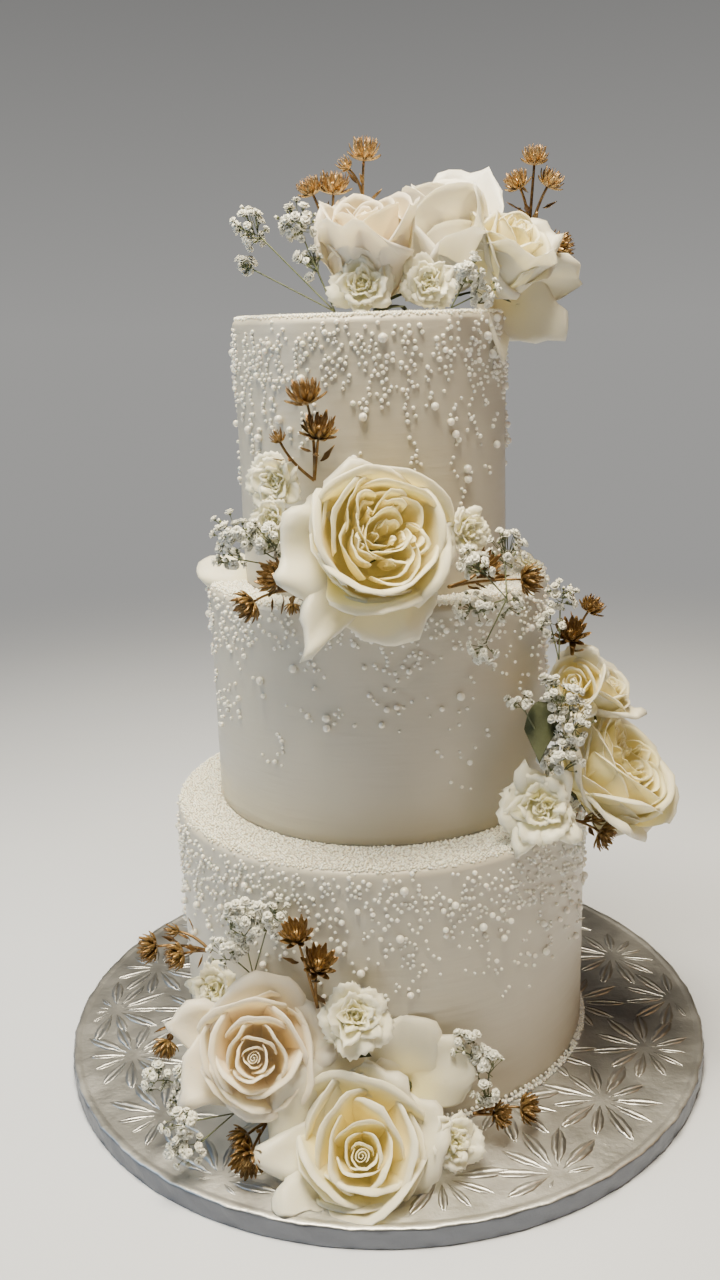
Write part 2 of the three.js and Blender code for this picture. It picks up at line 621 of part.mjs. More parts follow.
for (const [name, rose] of Object.entries(ROSES)) {
  const finish = name.endsWith("blush") ? MATERIALS.blushPetal : MATERIALS.petal;
  place(name, roseSolid(rose, 0), roseSolid(rose, GAP), finish);
}
for (const [name, flower] of Object.entries(RUFFLED_FLOWERS)) {
  place(name, ruffledSolid(flower, 0), ruffledSolid(flower, GAP), MATERIALS.ruffledPetal);
}
for (const [name, petal] of Object.entries(LOOSE_PETALS)) {
  const [solid, clearance] = [0, GAP].map((grow) => looseSolid(petal, PETAL.thickness, grow));
  place(name, solid, clearance, MATERIALS.petal);
}
for (const [name, sprig] of Object.entries(SPRIGS)) {
  place(name, sprigSolid(sprig, 0), sprigSolid(sprig, GAP), MATERIALS.gilded);
}
for (const [name, sprig] of Object.entries(BREATH)) {
  const seed = name.length;
  const [solid, clearance] = [0, GAP].map((grow) => breathSolid(sprig, grow, seededRandom(seed)));
  place(name, solid, clearance, MATERIALS.breath);
}
for (const [name, leaf] of Object.entries(LEAVES)) {
  const [solid, clearance] = [0, GAP].map((grow) => looseSolid(leaf, LEAF_THICKNESS, grow));
  place(name, solid, clearance, MATERIALS.leaf);
}

addMesh("board", boardSolid(0), MATERIALS.foil);
TIERS.forEach((tier, i) => {
  const pearls = pearlSolids(tier, floors[i] + tier.height, dressing, seededRandom(i + 1));
  addMesh(tier.name, largestBody(fuse([tierSolid(tier, floors[i], 0), ...pearls])), MATERIALS.icing);
});

export default group;
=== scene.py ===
"""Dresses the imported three-tier wedding cake: satin icing with sugar pearls, fresh roses, small ruffled
flowers, baby's breath and gilded seed heads, on a foil-covered drum board.

Laid out as an add-on and run as a script. Tables are in millimetres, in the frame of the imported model:
+Z up, the front faces -Y, and the origin is the centre of the board's underside.
"""

import itertools
import math

import bpy
import numpy as np
from mathutils import Matrix, Vector


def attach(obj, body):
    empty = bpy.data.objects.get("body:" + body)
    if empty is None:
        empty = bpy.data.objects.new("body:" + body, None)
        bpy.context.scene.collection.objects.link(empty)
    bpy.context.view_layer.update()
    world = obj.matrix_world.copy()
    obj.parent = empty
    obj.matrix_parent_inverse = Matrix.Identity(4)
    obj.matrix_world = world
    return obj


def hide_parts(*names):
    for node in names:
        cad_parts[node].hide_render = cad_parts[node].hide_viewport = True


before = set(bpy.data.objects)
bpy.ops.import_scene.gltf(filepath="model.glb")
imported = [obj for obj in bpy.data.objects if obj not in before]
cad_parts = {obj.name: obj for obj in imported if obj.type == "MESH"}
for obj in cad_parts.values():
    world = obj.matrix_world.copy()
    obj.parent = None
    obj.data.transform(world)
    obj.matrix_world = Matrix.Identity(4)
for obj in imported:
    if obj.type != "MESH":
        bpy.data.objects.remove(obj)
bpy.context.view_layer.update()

bl_info = {
    "name": "Tiered Wedding Cake",
    "version": (1, 0, 0),
    "blender": (4, 5, 0),
    "location": "3D View > Sidebar > Cake",
    "description": "Dresses a tiered wedding cake with pearls, roses, small flowers and gilded sprigs",
    "category": "Object",
}

MM = 0.001

# ---- Layout of the cake, millimetres ----------------------------------------------------------------
BOARD = {"radius": 203.2, "height": 12.0, "edge": 1.5, "flange": 196.5}
RIM_RADIUS = 4.0
GAP = 0.3
TIERS = {
    "tier_bottom": {"x": 0.0, "y": 4.0, "radius": 127.0, "floor": 12.0, "top": 167.0,
                    "pearls": 14, "band": 82},
    "tier_middle": {"x": 1.5, "y": 11.0, "radius": 102.0, "floor": 167.0, "top": 302.0,
                    "pearls": 12, "band": 90},
    "tier_top": {"x": 0.5, "y": 6.0, "radius": 78.0, "floor": 302.0, "top": 452.0,
                 "pearls": 13, "band": 92},
}
PEARL = {"largest": 2.7, "smallest": 2.1, "sunk": 0.35, "start": 3.0}

# How the smaller pearls fall on each wall: strings of pearls, and how far down they reach in millimetres
PEARL_FALL = {
    "tier_bottom": {"strings": 1100, "dense": 27.0, "reach": 60.0, "most": 2600, "stray": 4.6},
    "tier_middle": {"strings": 520, "dense": 20.0, "reach": 66.0, "most": 1500, "stray": 4.2},
    "tier_top": {"strings": 460, "dense": 22.0, "reach": 72.0, "most": 1800, "stray": 1.8},
}

# A petal's root: its distance from the flower's axis, the angle at which it springs from it, and its width
# as a share of the petal's
PETAL = {"root_radius": 3.0, "root_angle": 80.0, "root_width": 0.3}

# Roses. `at` is where the petals spring from and `facing` points out of the flower. A guard petal is
# [clock angle seen from the front, length, half width, lean from the axis, curl of its lip, hug].
ROSES = {
    "rose_middle": {
        "at": (-4, -80, 331), "facing": (0.28, -0.86, 0.42), "radius": 33, "depth": 42,
        "heart": "quartered",
        "petals": [(275, 50, 34, 66, 14, 0.6), (222, 62, 21, 74, 6, 0.5), (172, 50, 32, 70, 8, 0.6),
                   (0, 51, 36, 36, 24, 0.8), (88, 48, 28, 48, 22, 0.8)],
        "outlines": "squared pointed squared squared squared",
    },
    "rose_base_blush": {
        "at": (-72, -119, 60), "facing": (0.08, -0.86, 0.5), "radius": 28, "depth": 42, "heart": "spiral",
        "petals": [(292, 50, 24, 60, 14, 0.6), (255, 48, 24, 56, 14, 0.6), (15, 48, 34, 34, 24, 0.8),
                   (82, 49, 30, 34, 22, 0.8), (178, 42, 30, 30, 20, 0.8)],
        "outlines": "pointed round squared squared round", "heart_shift": (-0.06, -0.07),
    },
    "rose_base_cream": {
        "at": (-15, -152, 20), "facing": (0.03, -0.74, 0.67), "radius": 31, "depth": 37, "heart": "open",
        "petals": [(268, 50, 26, 62, 6, 0.5), (232, 54, 22, 58, 12, 0.6), (318, 60, 32, 50, 16, 0.6),
                   (8, 49, 34, 34, 24, 0.8), (86, 49, 30, 44, 20, 0.8)],
        "outlines": "pointed squared squared squared squared", "heart_shift": (-0.02, -0.18),
    },
    "rose_side_large": {
        "at": (122, -31, 171), "facing": (0.66, -0.32, 0.66), "radius": 33, "depth": 44,
        "heart": "quartered",
        "petals": [(158, 44, 28, 58, 10, 0.6), (236, 54, 30, 44, 18, 0.8), (312, 56, 32, 40, 20, 0.8),
                   (72, 54, 32, 36, 22, 0.8)],
        "outlines": "round squared squared round",
    },
    "rose_top_blush": {
        "at": (4, -26, 460), "facing": (-0.1, -0.32, 0.94), "radius": 21, "depth": 50, "heart": "bowl",
        "petals": [(190, 58, 26, 4, 16, 1), (310, 58, 26, 6, 16, 1), (70, 58, 26, 4, 16, 1)],
        "outlines": "squared squared squared", "roll": (5, 30),
    },
    "rose_top_white": {
        "at": (44, 3, 462), "facing": (-0.06, -0.12, 0.99), "radius": 24, "depth": 58, "heart": "bowl",
        "petals": [(212, 64, 28, 14, 34, 0.9), (136, 64, 28, 32, 26, 0.7), (0, 76, 30, 6, 20, 1)],
        "outlines": "pointed pointed squared", "roll": (0, 30),
    },
    "rose_top_side": {
        "at": (66, -14, 465), "facing": (0.45, -0.45, 0.77), "radius": 20, "depth": 42, "heart": "spiral",
        "petals": [(205, 50, 24, 8, 20, 1), (310, 54, 24, 10, 22, 1), (92, 48, 24, 8, 20, 1)],
        "outlines": "squared pointed squared", "roll": (5, 60),
    },
    "rose_top_drooping": {
        "at": (70, -14, 466), "facing": (0.7, -0.68, -0.22), "radius": 14, "depth": 22, "heart": "hidden",
        "petals": [(76, 52, 24, 34, 16, 0.6), (130, 48, 25, 26, 14, 0.6), (200, 42, 20, 38, 6, 0.5)],
        "outlines": "pointed pointed pointed",
    },
    "rose_base_back": {
        "at": (9, -135, 46), "facing": (0.2, -0.8, 0.55), "radius": 13, "depth": 14, "heart": "hidden",
        "petals": [(14, 36, 24, 60, 12, 0.6), (70, 38, 22, 60, 12, 0.6), (290, 28, 16, 50, 10, 0.7)],
        "outlines": "round squared pointed",
    },
    "rose_side_small": {
        "at": (116, -44, 240), "facing": (-0.35, -0.75, 0.56), "radius": 14, "depth": 22, "heart": "open",
        "petals": [(10, 30, 15, 26, 24, 0.9), (190, 28, 15, 30, 20, 0.9)],
        "outlines": "squared squared",
    },
    "rose_side_back": {
        "at": (126, -27, 224), "facing": (0.5, -0.3, 0.8), "radius": 15, "depth": 26, "heart": "open",
        "petals": [(60, 34, 17, 28, 24, 0.9), (190, 32, 17, 30, 20, 0.9)],
        "outlines": "squared squared",
    },
}

# Outlines of guard petals: how far the corners are cut back, how late, how far the tip stands out,
# and how far the sides roll back as a share of the half width
OUTLINES = {
    "round": (0.4, 2.8, 0.06, 0.3),
    "pointed": (0.55, 1.6, 0.14, 0.55),
    "squared": (0.2, 4.2, 0.05, 0.28),
}

# The cup of a rose by kind. Pairs and triples run from the heart to the rim: number of petals, mouth of
# the first, lips and heights as shares of the radius and depth, roll and wrap in degrees, bend of the
# petals across the flower, and the heart's own size and height
CUPS = {
    "spiral": {"petals": 16, "mouth": 0.15, "spread": 1.15, "lips": (0.08, 0.13, 0.25),
               "heights": (1.0, 0.97, 0.8), "rolls": (70, 90, 100), "wraps": (175, 112),
               "bends": (1.3, 1.9), "heart": (0.11, 1.0)},
    "open": {"petals": 16, "mouth": 0.15, "spread": 1.35, "lips": (0.07, 0.12, 0.25),
             "heights": (0.88, 0.92, 0.84), "rolls": (60, 80, 105), "wraps": (170, 122),
             "bends": (1.2, 1.9), "heart": (0.11, 0.88)},
    "quartered": {"petals": 10, "mouth": 0.76, "spread": 1.0, "lips": (0.14, 0.28),
                  "heights": (1.0, 0.98, 0.86), "rolls": (90, 115), "wraps": (112, 104),
                  "bends": (1.2, 1.5), "heart": None},
    "bowl": {"petals": 13, "mouth": 0.2, "spread": 1.0, "lips": (0.14, 0.22),
             "heights": (0.98, 1.03, 1.06), "rolls": (50, 75), "wraps": (180, 128),
             "bends": (1.0, 1.2), "heart": (0.15, 0.98)},
    "hidden": {"petals": 0, "heart": None},
}

# Small ruffled flowers: middle, direction faced, radius across, and depth as a share of the radius
RUFFLED_FLOWERS = {
    "ruffled_top_left": {"at": (-2, -54, 467), "facing": (-0.1, -0.9, 0.4), "radius": 16, "flat": 0.7},
    "ruffled_top_right": {"at": (32, -50, 467), "facing": (0.1, -0.95, 0.3), "radius": 13, "flat": 0.7},
    "ruffled_middle_upper": {"at": (-51, -74, 369), "facing": (-0.4, -0.9, 0.2), "radius": 14, "flat": 0.7},
    "ruffled_middle_lower": {"at": (-53, -80, 350), "facing": (-0.5, -0.85, 0.1), "radius": 11,
                             "flat": 0.8},
    "ruffled_middle_right": {"at": (49, -80, 341), "facing": (0.5, -0.85, 0.2), "radius": 12, "flat": 0.8},
    "ruffled_ledge": {"at": (91, -6, 308), "facing": (0.5, -0.2, 0.85), "radius": 9, "flat": 0.6},
    "ruffled_side": {"at": (88, -90, 188), "facing": (-0.05, -0.9, 0.4), "radius": 22, "flat": 0.6},
    "ruffled_base_upper": {"at": (-17, -140, 92), "facing": (0.15, -0.85, 0.5), "radius": 17, "flat": 0.7},
    "ruffled_base_right": {"at": (34, -162, 31), "facing": (0.5, -0.7, 0.5), "radius": 14, "flat": 0.7},
    "ruffled_base_left": {"at": (-96, -106, 90), "facing": (-0.3, -0.8, 0.5), "radius": 14, "flat": 0.7},
}

# Ruffled petals from the heart outwards: [count, length, half width as shares of the radius, lean, curl,
# hug, frill as a share of the radius]
RUFFLES = [(3, 0.52, 0.2, -16, -10, 1.0, 0.08), (4, 0.66, 0.3, -2, 12, 1.0, 0.09),
           (5, 0.82, 0.42, 14, 24, 0.9, 0.1), (5, 1.02, 0.6, 34, 22, 0.8, 0.1),
           (5, 1.18, 0.72, 58, 16, 0.5, 0.1)]

# Gilded sprigs: a root, and seed heads as [position, direction faced, radius, height]
SPRIGS = {
    "gilded_top_left": [(-20, -8, 486), [
        ((-28, -8, 516), (-0.4, -0.2, 0.9), 7, 11),
        ((-17, -8, 516), (0.1, -0.3, 0.95), 8.5, 13)]],
    "gilded_top_centre": [(-1, 6, 500), [
        ((0, 4, 534), (0.1, -0.2, 1), 8, 14),
        ((-8, 4, 530), (-0.7, -0.2, 0.7), 4, 9)]],
    "gilded_top_right": [(92, 12, 490), [
        ((95, 12, 530), (0.05, -0.2, 1), 7, 12),
        ((87, 10, 518), (-0.5, -0.3, 0.9), 7, 11),
        ((102, 10, 518), (0.5, -0.2, 0.9), 7, 11)]],
    "gilded_top_side": [(97, 0, 482), [
        ((106, 0, 485), (0.9, -0.4, 0.15), 7.5, 11)]],
    "gilded_middle_upper": [(-30, -82, 370), [
        ((-32, -82, 409), (-0.2, -0.2, 0.95), 9, 14),
        ((-27, -84, 392), (0.15, -0.4, 0.9), 8.5, 14),
        ((-47, -79, 390), (-0.35, -0.2, 0.9), 4, 8)]],
    "gilded_middle_left": [(-40, -97, 315), [
        ((-50, -93, 321), (-0.7, -0.6, 0.35), 8.5, 12),
        ((-64, -88, 308), (-0.8, -0.4, -0.45), 8.5, 12),
        ((-43, -99, 309), (0, -0.3, -0.95), 4, 7)]],
    "gilded_middle_right": [(38, -97, 315), [
        ((56, -88, 322), (0.5, -0.5, 0.7), 7.5, 11),
        ((79, -70, 312), (0.9, -0.4, 0.05), 8, 12)]],
    "gilded_side_upper": [(110, -52, 264), [
        ((121, -38, 285), (0.5, -0.2, 0.85), 7, 11),
        ((110, -47, 272), (-0.05, -0.5, 0.85), 9, 13)]],
    "gilded_side_lower": [(108, -68, 171), [
        ((126, -62, 160), (0.75, -0.55, -0.35), 8.5, 10),
        ((122, -60, 166), (0.9, -0.3, 0.3), 4, 8)]],
    "gilded_base_left": [(-96, -112, 117), [
        ((-128, -98, 113), (-0.9, -0.4, 0.1), 8, 12),
        ((-112, -103, 111), (-0.95, -0.3, -0.1), 7.5, 12),
        ((-115, -98, 122), (-0.95, 0.1, 0.2), 3.5, 10)]],
    "gilded_base_upper": [(-37, -130, 92), [
        ((-46, -130, 133), (-0.15, -0.3, 0.95), 8.5, 13),
        ((-36, -134, 118), (0.25, -0.4, 0.9), 9, 14)]],
    "gilded_base_far_left": [(-114, -120, 79), [
        ((-120, -125, 71), (-0.4, -0.5, -0.75), 6.5, 12)]],
    "gilded_base_lower": [(-66, -144, 32), [
        ((-76, -150, 29), (-0.75, -0.5, -0.35), 7.5, 12),
        ((-74, -164, 27), (-0.25, -0.95, -0.1), 9, 12)]],
    "gilded_base_right": [(46, -140, 31), [
        ((58, -137, 28), (0.8, -0.5, 0.3), 6.5, 10),
        ((73, -126, 24), (0.9, -0.3, 0.1), 8, 12)]],
}

# Baby's breath: a root, and clusters of florets as [position, spread]
BREATH = {
    "breath_top_left": [(-17, -56, 454), [
        ((-60, -44, 498), 11), ((-36, -44, 500), 11),
        ((-64, -44, 479), 6), ((-28, -48, 480), 9)]],
    "breath_top_right": [(43, -60, 454), [
        ((53, -60, 472), 9), ((61, -56, 462), 8)]],
    "breath_middle_left": [(-44, -92, 326), [
        ((-72, -86, 344), 13), ((-56, -88, 341), 10),
        ((-76, -84, 331), 8)]],
    "breath_middle_right": [(68, -97, 308), [
        ((52, -98, 327), 10), ((68, -84, 332), 11),
        ((52, -98, 303), 11), ((70, -86, 302), 9),
        ((55, -98, 281), 7)]],
    "breath_side_upper": [(101, -62, 264), [
        ((103, -52, 298), 9), ((97, -56, 283), 9)]],
    "breath_side_column": [(98, -84, 206), [
        ((98, -82, 250), 12), ((104, -84, 234), 13),
        ((100, -86, 215), 12), ((77, -86, 247), 8)]],
    "breath_base_upper": [(-72, -120, 106), [
        ((-77, -121, 140), 13), ((-61, -121, 142), 11),
        ((-86, -121, 122), 11)]],
    "breath_base_left": [(-98, -140, 46), [
        ((-127, -133, 54), 9), ((-108, -136, 52), 10),
        ((-113, -137, 39), 9)]],
    "breath_base_lower": [(-84, -142, 36), [
        ((-111, -160, 44), 9), ((-107, -162, 27), 11)]],
    "breath_base_right": [(54, -136, 34), [
        ((43, -132, 69), 9), ((55, -133, 58), 9),
        ((53, -138, 43), 8)]],
}

# Loose petal and leaves: position, direction faced, and the petal as above
LOOSE_PETAL = [(-70, -8, 305), (-0.1, -0.75, 0.65), (276, 32, 15, 80, 10, 0.3)]
LEAVES = {
    "leaf_top": [(8, -34, 457), (0, -0.3, 0.95), (160, 24, 9, 74, 0, 0.2)],
    "leaf_side": [(90, -78, 248), (0, -0.95, 0.3), (186, 30, 8, 82, -10, 0.3)],
    "leaf_base": [(-34, -134, 78), (0.2, -0.9, 0.4), (120, 22, 8, 72, 0, 0.3)],
}

# Camera: metres, radians, and millimetres for the lens and for the sensor along the picture's long side
CAMERA = {"place": (0.0, -0.69242, 0.44814), "yaw": -0.0145, "pitch": 0.2629, "roll": 0.0306,
          "lens": 33.16, "sensor": 36}

# Lights in metres: place, point aimed at, size, the setting that holds the power, and colour
LIGHTS = {
    "overhead light": [(-0.12, -0.22, 1.55), (0, -0.05, 0.2), 0.65, "overhead", (1, 0.88, 0.63)],
    "cool light": [(-1.5, -0.3, 0.8), (0, 0, 0.25), 0.8, "cool", (0.55, 0.78, 1.0)],
    "warm light": [(1.4, -0.4, 0.9), (0, 0, 0.25), 0.8, "warm", (1.0, 0.6, 0.28)],
}

# Round floor in metres, a hair below the board so that the two faces don't lie in one plane
FLOOR = {"radius": 5, "corners": 64, "z": -0.0002}

# Angles in radians: the turn from one petal to the next, and the range in which a drawn wave starts
GOLDEN_ANGLE = math.pi * (3 - math.sqrt(5))
ANY_PHASE = 6.28

# Finish of the meshes: corners round the board and the tiers, steps in which a petal's curve is followed,
# triangles of a ball by its size, and the radius over which a pearl is a fine ball
BOARD_SEGMENTS = 480
TIER_SEGMENTS = 160
PETAL_STEPS = 192
FINE_BALL = 80
BALL = 32
COARSE_BALL = 8
FINE_BALL_FROM = 1.6

# Foil: how far its face lies below the rim, distance between the fans, and leaves in a fan
FOIL_SINK = 0.5
FAN_SPACING = 62.0
FAN_LEAVES = 11

# Pearls that are only here: radii of the common, the middling and the large ones, and the grid of cells
# in which neighbours are looked for
COMMON_PEARLS = (0.85, 1.25)
MIDDLING_PEARLS = (1.35, 1.75)
LARGE_PEARLS = (2.0, 2.4)
CELL = 6

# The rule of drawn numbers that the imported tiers' pearls follow: factor, step and range
PEARL_RULE = (1664525, 1013904223, 4294967296)

# Rows of the border: distance out from the wall, height over the board, and number of beads
BORDER_ROWS = ((0.9, 1.3, 330), (2.0, 1.1, 300), (0.5, 3.1, 210))

# Roses under this radius have fewer and coarser petals; every cup stands in a skirt of this many petals,
# and a furled heart makes this many turns
SMALL_ROSE = 18
SKIRT_PETALS = 5
SPIRAL_TURNS = 2.4

# Nests of a quartered heart: clock angle, distance from the middle as a share of the radius, folds
NESTS = ((325, 0.42, 4), (30, 0.4, 4), (100, 0.42, 3), (165, 0.42, 4), (240, 0.42, 4), (20, 0.1, 3),
         (140, 0.14, 3), (265, 0.16, 3))

# Seed heads over this radius have the full number of bracts and spikes
FULL_HEAD = 5


# ---- Shapes -----------------------------------------------------------------------------------------
class Shape:
    """Points, faces and per-point shades gathered for one piece, in millimetres."""

    def __init__(self):
        self.points = []
        self.faces = []
        self.heart = []
        self.tint = []
        self.count = 0

    def add(self, points, faces, heart=0.0, tint=0.5, material=0):
        """Adds points and groups of faces; each group is an array with three or four corners a row."""
        points = np.asarray(points, float).reshape(-1, 3)
        for group in faces:
            self.faces.append((np.asarray(group, int) + self.count, material))
        self.points.append(points)
        self.heart.append(np.broadcast_to(np.asarray(heart, float).ravel(), len(points)))
        self.tint.append(np.broadcast_to(np.asarray(tint, float).ravel(), len(points)))
        self.count += len(points)

    def join(self, other):
        """Takes in all of another shape."""
        self.faces += [(group + self.count, material) for group, material in other.faces]
        self.points += other.points
        self.heart += other.heart
        self.tint += other.tint
        self.count += other.count

    def place(self, at, facing):
        """Moves the shape from a flower's own frame to its place on the cake."""
        self.points = [set_out(np.concatenate(self.points), at, facing)]

    def mesh(self, name):
        """A smooth-shaded mesh in metres, with the shades as point attributes."""
        mesh = bpy.data.meshes.new(name)
        corners = np.concatenate([group.ravel() for group, material in self.faces])
        sizes = np.concatenate([np.full(len(group), group.shape[1]) for group, material in self.faces])
        slots = np.concatenate([np.full(len(group), material) for group, material in self.faces])
        mesh.vertices.add(self.count)
        mesh.vertices.foreach_set("co", (np.concatenate(self.points) * MM).astype(np.float32).ravel())
        mesh.loops.add(len(corners))
        mesh.loops.foreach_set("vertex_index", corners.astype(np.int32))
        mesh.polygons.add(len(sizes))
        starts = np.concatenate([[0], np.cumsum(sizes)[:-1]])
        mesh.polygons.foreach_set("loop_start", starts.astype(np.int32))
        mesh.polygons.foreach_set("material_index", slots.astype(np.int32))
        mesh.update(calc_edges=True)
        mesh.shade_smooth()
        for label, values in (("heart", self.heart), ("tint", self.tint)):
            layer = mesh.attributes.new(label, "FLOAT", "POINT")
            layer.data.foreach_set("value", np.concatenate(values).astype(np.float32))
        return mesh


def rest_on_board(points):
    """Presses flat on the foil whatever would hang below the board's face."""
    rest = BOARD["height"] + GAP
    points = np.array(points)
    low = points[:, 2] < rest
    points[low, 2] = rest - 0.04 * (rest - points[low, 2])
    return points


def place_piece(shape, name, materials, slot, nodes):
    """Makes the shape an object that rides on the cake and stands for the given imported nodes."""
    if slot not in ("foil", "icing"):
        shape.points = [rest_on_board(np.concatenate(shape.points))]
    mesh = shape.mesh(name)
    for material in materials:
        mesh.materials.append(material)
    piece = bpy.data.objects.new(name, mesh)
    bpy.context.scene.collection.objects.link(piece)
    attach(piece, "root")
    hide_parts(*nodes)


def smooth_step(low, high, value):
    """Rises smoothly from 0 at low to 1 at high."""
    share = np.clip((value - low) / (high - low), 0, 1)
    return share * share * (3 - 2 * share)


def axes_of(facing):
    """Rows of a flower's axes: x to a viewer's right, y towards what is up, z out of its face."""
    z = np.array(facing, float)
    z /= np.linalg.norm(z)
    y = np.array((0.0, 0.0, 1.0)) - z * z[2]
    y /= np.linalg.norm(y)
    return np.array([np.cross(y, z), y, z])


def set_out(points, at, facing):
    """Moves points from a flower's own frame to its place on the cake."""
    return np.asarray(points) @ axes_of(facing) + np.array(at, float)


def ripple(values, chance, waves, steepness=1.0):
    """A smooth wavering line: sines of rising pitch with drawn phases."""
    total = np.zeros_like(values)
    for wave in range(1, waves + 1):
        phase = chance.uniform(0, 2 * math.pi)
        total = total + np.sin(values * wave * math.pi + phase) * chance.uniform(0.5, 1) / wave**steepness
    return total


def sheet_normal(grid):
    """Unit normals of a grid of points, out of its upper face."""
    normal = np.cross(np.gradient(grid, axis=1), np.gradient(grid, axis=0))
    return normal / (np.linalg.norm(normal, axis=2, keepdims=True) + 1e-9)


def add_sheet(shape, grid, thickness, heart, tint, material=0, thin_lip=0.45):
    """Turns a grid of points into a closed thin sheet, thinner along its lip."""
    rows, columns = grid.shape[:2]
    normal = sheet_normal(grid)
    v = np.linspace(0, 1, rows)[:, None]
    u = np.abs(np.linspace(-1, 1, columns))[None, :]
    edge = np.maximum(smooth_step(0.75, 1, v), smooth_step(0.8, 1, u))
    half = (0.5 * thickness * (1 - (1 - thin_lip) * edge))[..., None]
    points = np.concatenate([(grid + normal * half).reshape(-1, 3), (grid - normal * half).reshape(-1, 3)])
    index = np.arange(rows * columns).reshape(rows, columns)
    a, b, c, d = index[:-1, :-1], index[:-1, 1:], index[1:, 1:], index[1:, :-1]
    back = rows * columns
    front_faces = np.stack([a, b, c, d], -1).reshape(-1, 4)
    back_faces = np.stack([a, d, c, b], -1).reshape(-1, 4) + back
    loop = np.concatenate([index[0, :-1], index[:-1, -1], index[-1, :0:-1], index[:0:-1, 0]])
    after = np.roll(loop, -1)
    rim_faces = np.stack([after, loop, loop + back, after + back], -1)
    shade = np.broadcast_to(heart, (rows, columns)).ravel()
    shape.add(points, [np.concatenate([front_faces, back_faces, rim_faces])],
              np.concatenate([shade, shade]), tint, material)


def add_rings(shape, rings, ends, heart, tint, material=0):
    """Joins rings of points into a skin, closed by a fan of triangles to each of two end points."""
    levels, sides = rings.shape[:2]
    index = np.arange(levels * sides).reshape(levels, sides)
    beside = np.roll(index, -1, axis=1)
    walls = np.stack([index[:-1], beside[:-1], beside[1:], index[1:]], -1).reshape(-1, 4)
    first = np.stack([np.full(sides, levels * sides), beside[0], index[0]], -1)
    last = np.stack([np.full(sides, levels * sides + 1), index[-1], beside[-1]], -1)
    points = np.concatenate([rings.reshape(-1, 3), ends])
    shape.add(points, [walls, np.concatenate([first, last])], heart, tint, material)


def add_tube(shape, path, radii, sides, heart=0.0, tint=0.5, material=0):
    """Sweeps a round section along a path and closes both ends."""
    path = np.asarray(path, float)
    radii = np.broadcast_to(np.asarray(radii, float), len(path))
    along = np.gradient(path, axis=0)
    along /= np.linalg.norm(along, axis=1, keepdims=True) + 1e-9
    guide = np.array((0.3, 0.9, 0.2)) if abs(along[0][2]) > 0.8 else np.array((0.1, 0.2, 1.0))
    side = np.cross(along, guide)
    side /= np.linalg.norm(side, axis=1, keepdims=True) + 1e-9
    other = np.cross(along, side)
    angles = np.arange(sides) * 2 * math.pi / sides
    ring = side[:, None] * np.cos(angles)[None, :, None] + other[:, None] * np.sin(angles)[None, :, None]
    add_rings(shape, path[:, None] + ring * radii[:, None, None], path[[0, -1]], heart, tint, material)


def ball_template(triangles):
    """Points and triangles of a unit ball: COARSE_BALL, BALL or FINE_BALL."""
    if triangles in (COARSE_BALL, BALL):
        points = [(0, 0, 1), (1, 0, 0), (0, 1, 0), (-1, 0, 0), (0, -1, 0), (0, 0, -1)]
        faces = [(0, 1, 2), (0, 2, 3), (0, 3, 4), (0, 4, 1), (5, 2, 1), (5, 3, 2), (5, 4, 3), (5, 1, 4)]
    else:
        g = (1 + math.sqrt(5)) / 2
        points = [(-1, g, 0), (1, g, 0), (-1, -g, 0), (1, -g, 0), (0, -1, g), (0, 1, g), (0, -1, -g),
                  (0, 1, -g), (g, 0, -1), (g, 0, 1), (-g, 0, -1), (-g, 0, 1)]
        faces = [(0, 11, 5), (0, 5, 1), (0, 1, 7), (0, 7, 10), (0, 10, 11), (1, 5, 9), (5, 11, 4),
                 (11, 10, 2), (10, 7, 6), (7, 1, 8), (3, 9, 4), (3, 4, 2), (3, 2, 6), (3, 6, 8),
                 (3, 8, 9), (4, 9, 5), (2, 4, 11), (6, 2, 10), (8, 6, 7), (9, 8, 1)]
    points = [np.array(point, float) for point in points]
    if triangles in (BALL, FINE_BALL):
        middle = {}
        split = []
        for a, b, c in faces:
            halves = []
            for p, q in ((a, b), (b, c), (c, a)):
                key = (min(p, q), max(p, q))
                if key not in middle:
                    middle[key] = len(points)
                    points.append((points[p] + points[q]) / 2)
                halves.append(middle[key])
            ab, bc, ca = halves
            split += [(a, ab, ca), (b, bc, ab), (c, ca, bc), (ab, bc, ca)]
        faces = split
    points = np.array(points)
    return points / np.linalg.norm(points, axis=1, keepdims=True), np.array(faces)


def add_balls(shape, centres, radii, triangles, chance, heart=0.0, material=0, squash=0.0):
    """Scatters little balls, each with its own tint and a slightly uneven form."""
    points, faces = ball_template(triangles)
    centres = np.asarray(centres, float)
    radii = np.asarray(radii, float)
    uneven = 1 + squash * chance.uniform(-1, 1, (len(centres), 1, 3))
    placed = centres[:, None] + points[None] * radii[:, None, None] * uneven
    offsets = (np.arange(len(centres)) * len(points))[:, None, None]
    tint = np.repeat(chance.uniform(0, 1, len(centres)), len(points))
    shape.add(placed.reshape(-1, 3), [(faces[None] + offsets).reshape(-1, 3)], heart, tint, material)


def add_lathe(shape, profile, segments, centre, wobble, heart=0.0):
    """Turns a profile of (radius, height) round an upright axis, from the axis and back to it."""
    profile = np.asarray(profile, float)
    inner = profile[1:-1]
    angles = np.arange(segments) * 2 * math.pi / segments
    radius = np.broadcast_to(inner[:, 0][:, None], (len(inner), segments))
    height = np.broadcast_to(inner[:, 1][:, None], (len(inner), segments))
    radius, height = wobble(radius, height, angles[None, :])
    x = centre[0] + radius * np.cos(angles)
    y = centre[1] + radius * np.sin(angles)
    ends = [(centre[0], centre[1], profile[0][1]), (centre[0], centre[1], profile[-1][1])]
    add_rings(shape, np.stack([x, y, height], -1), ends, heart, 0.5)


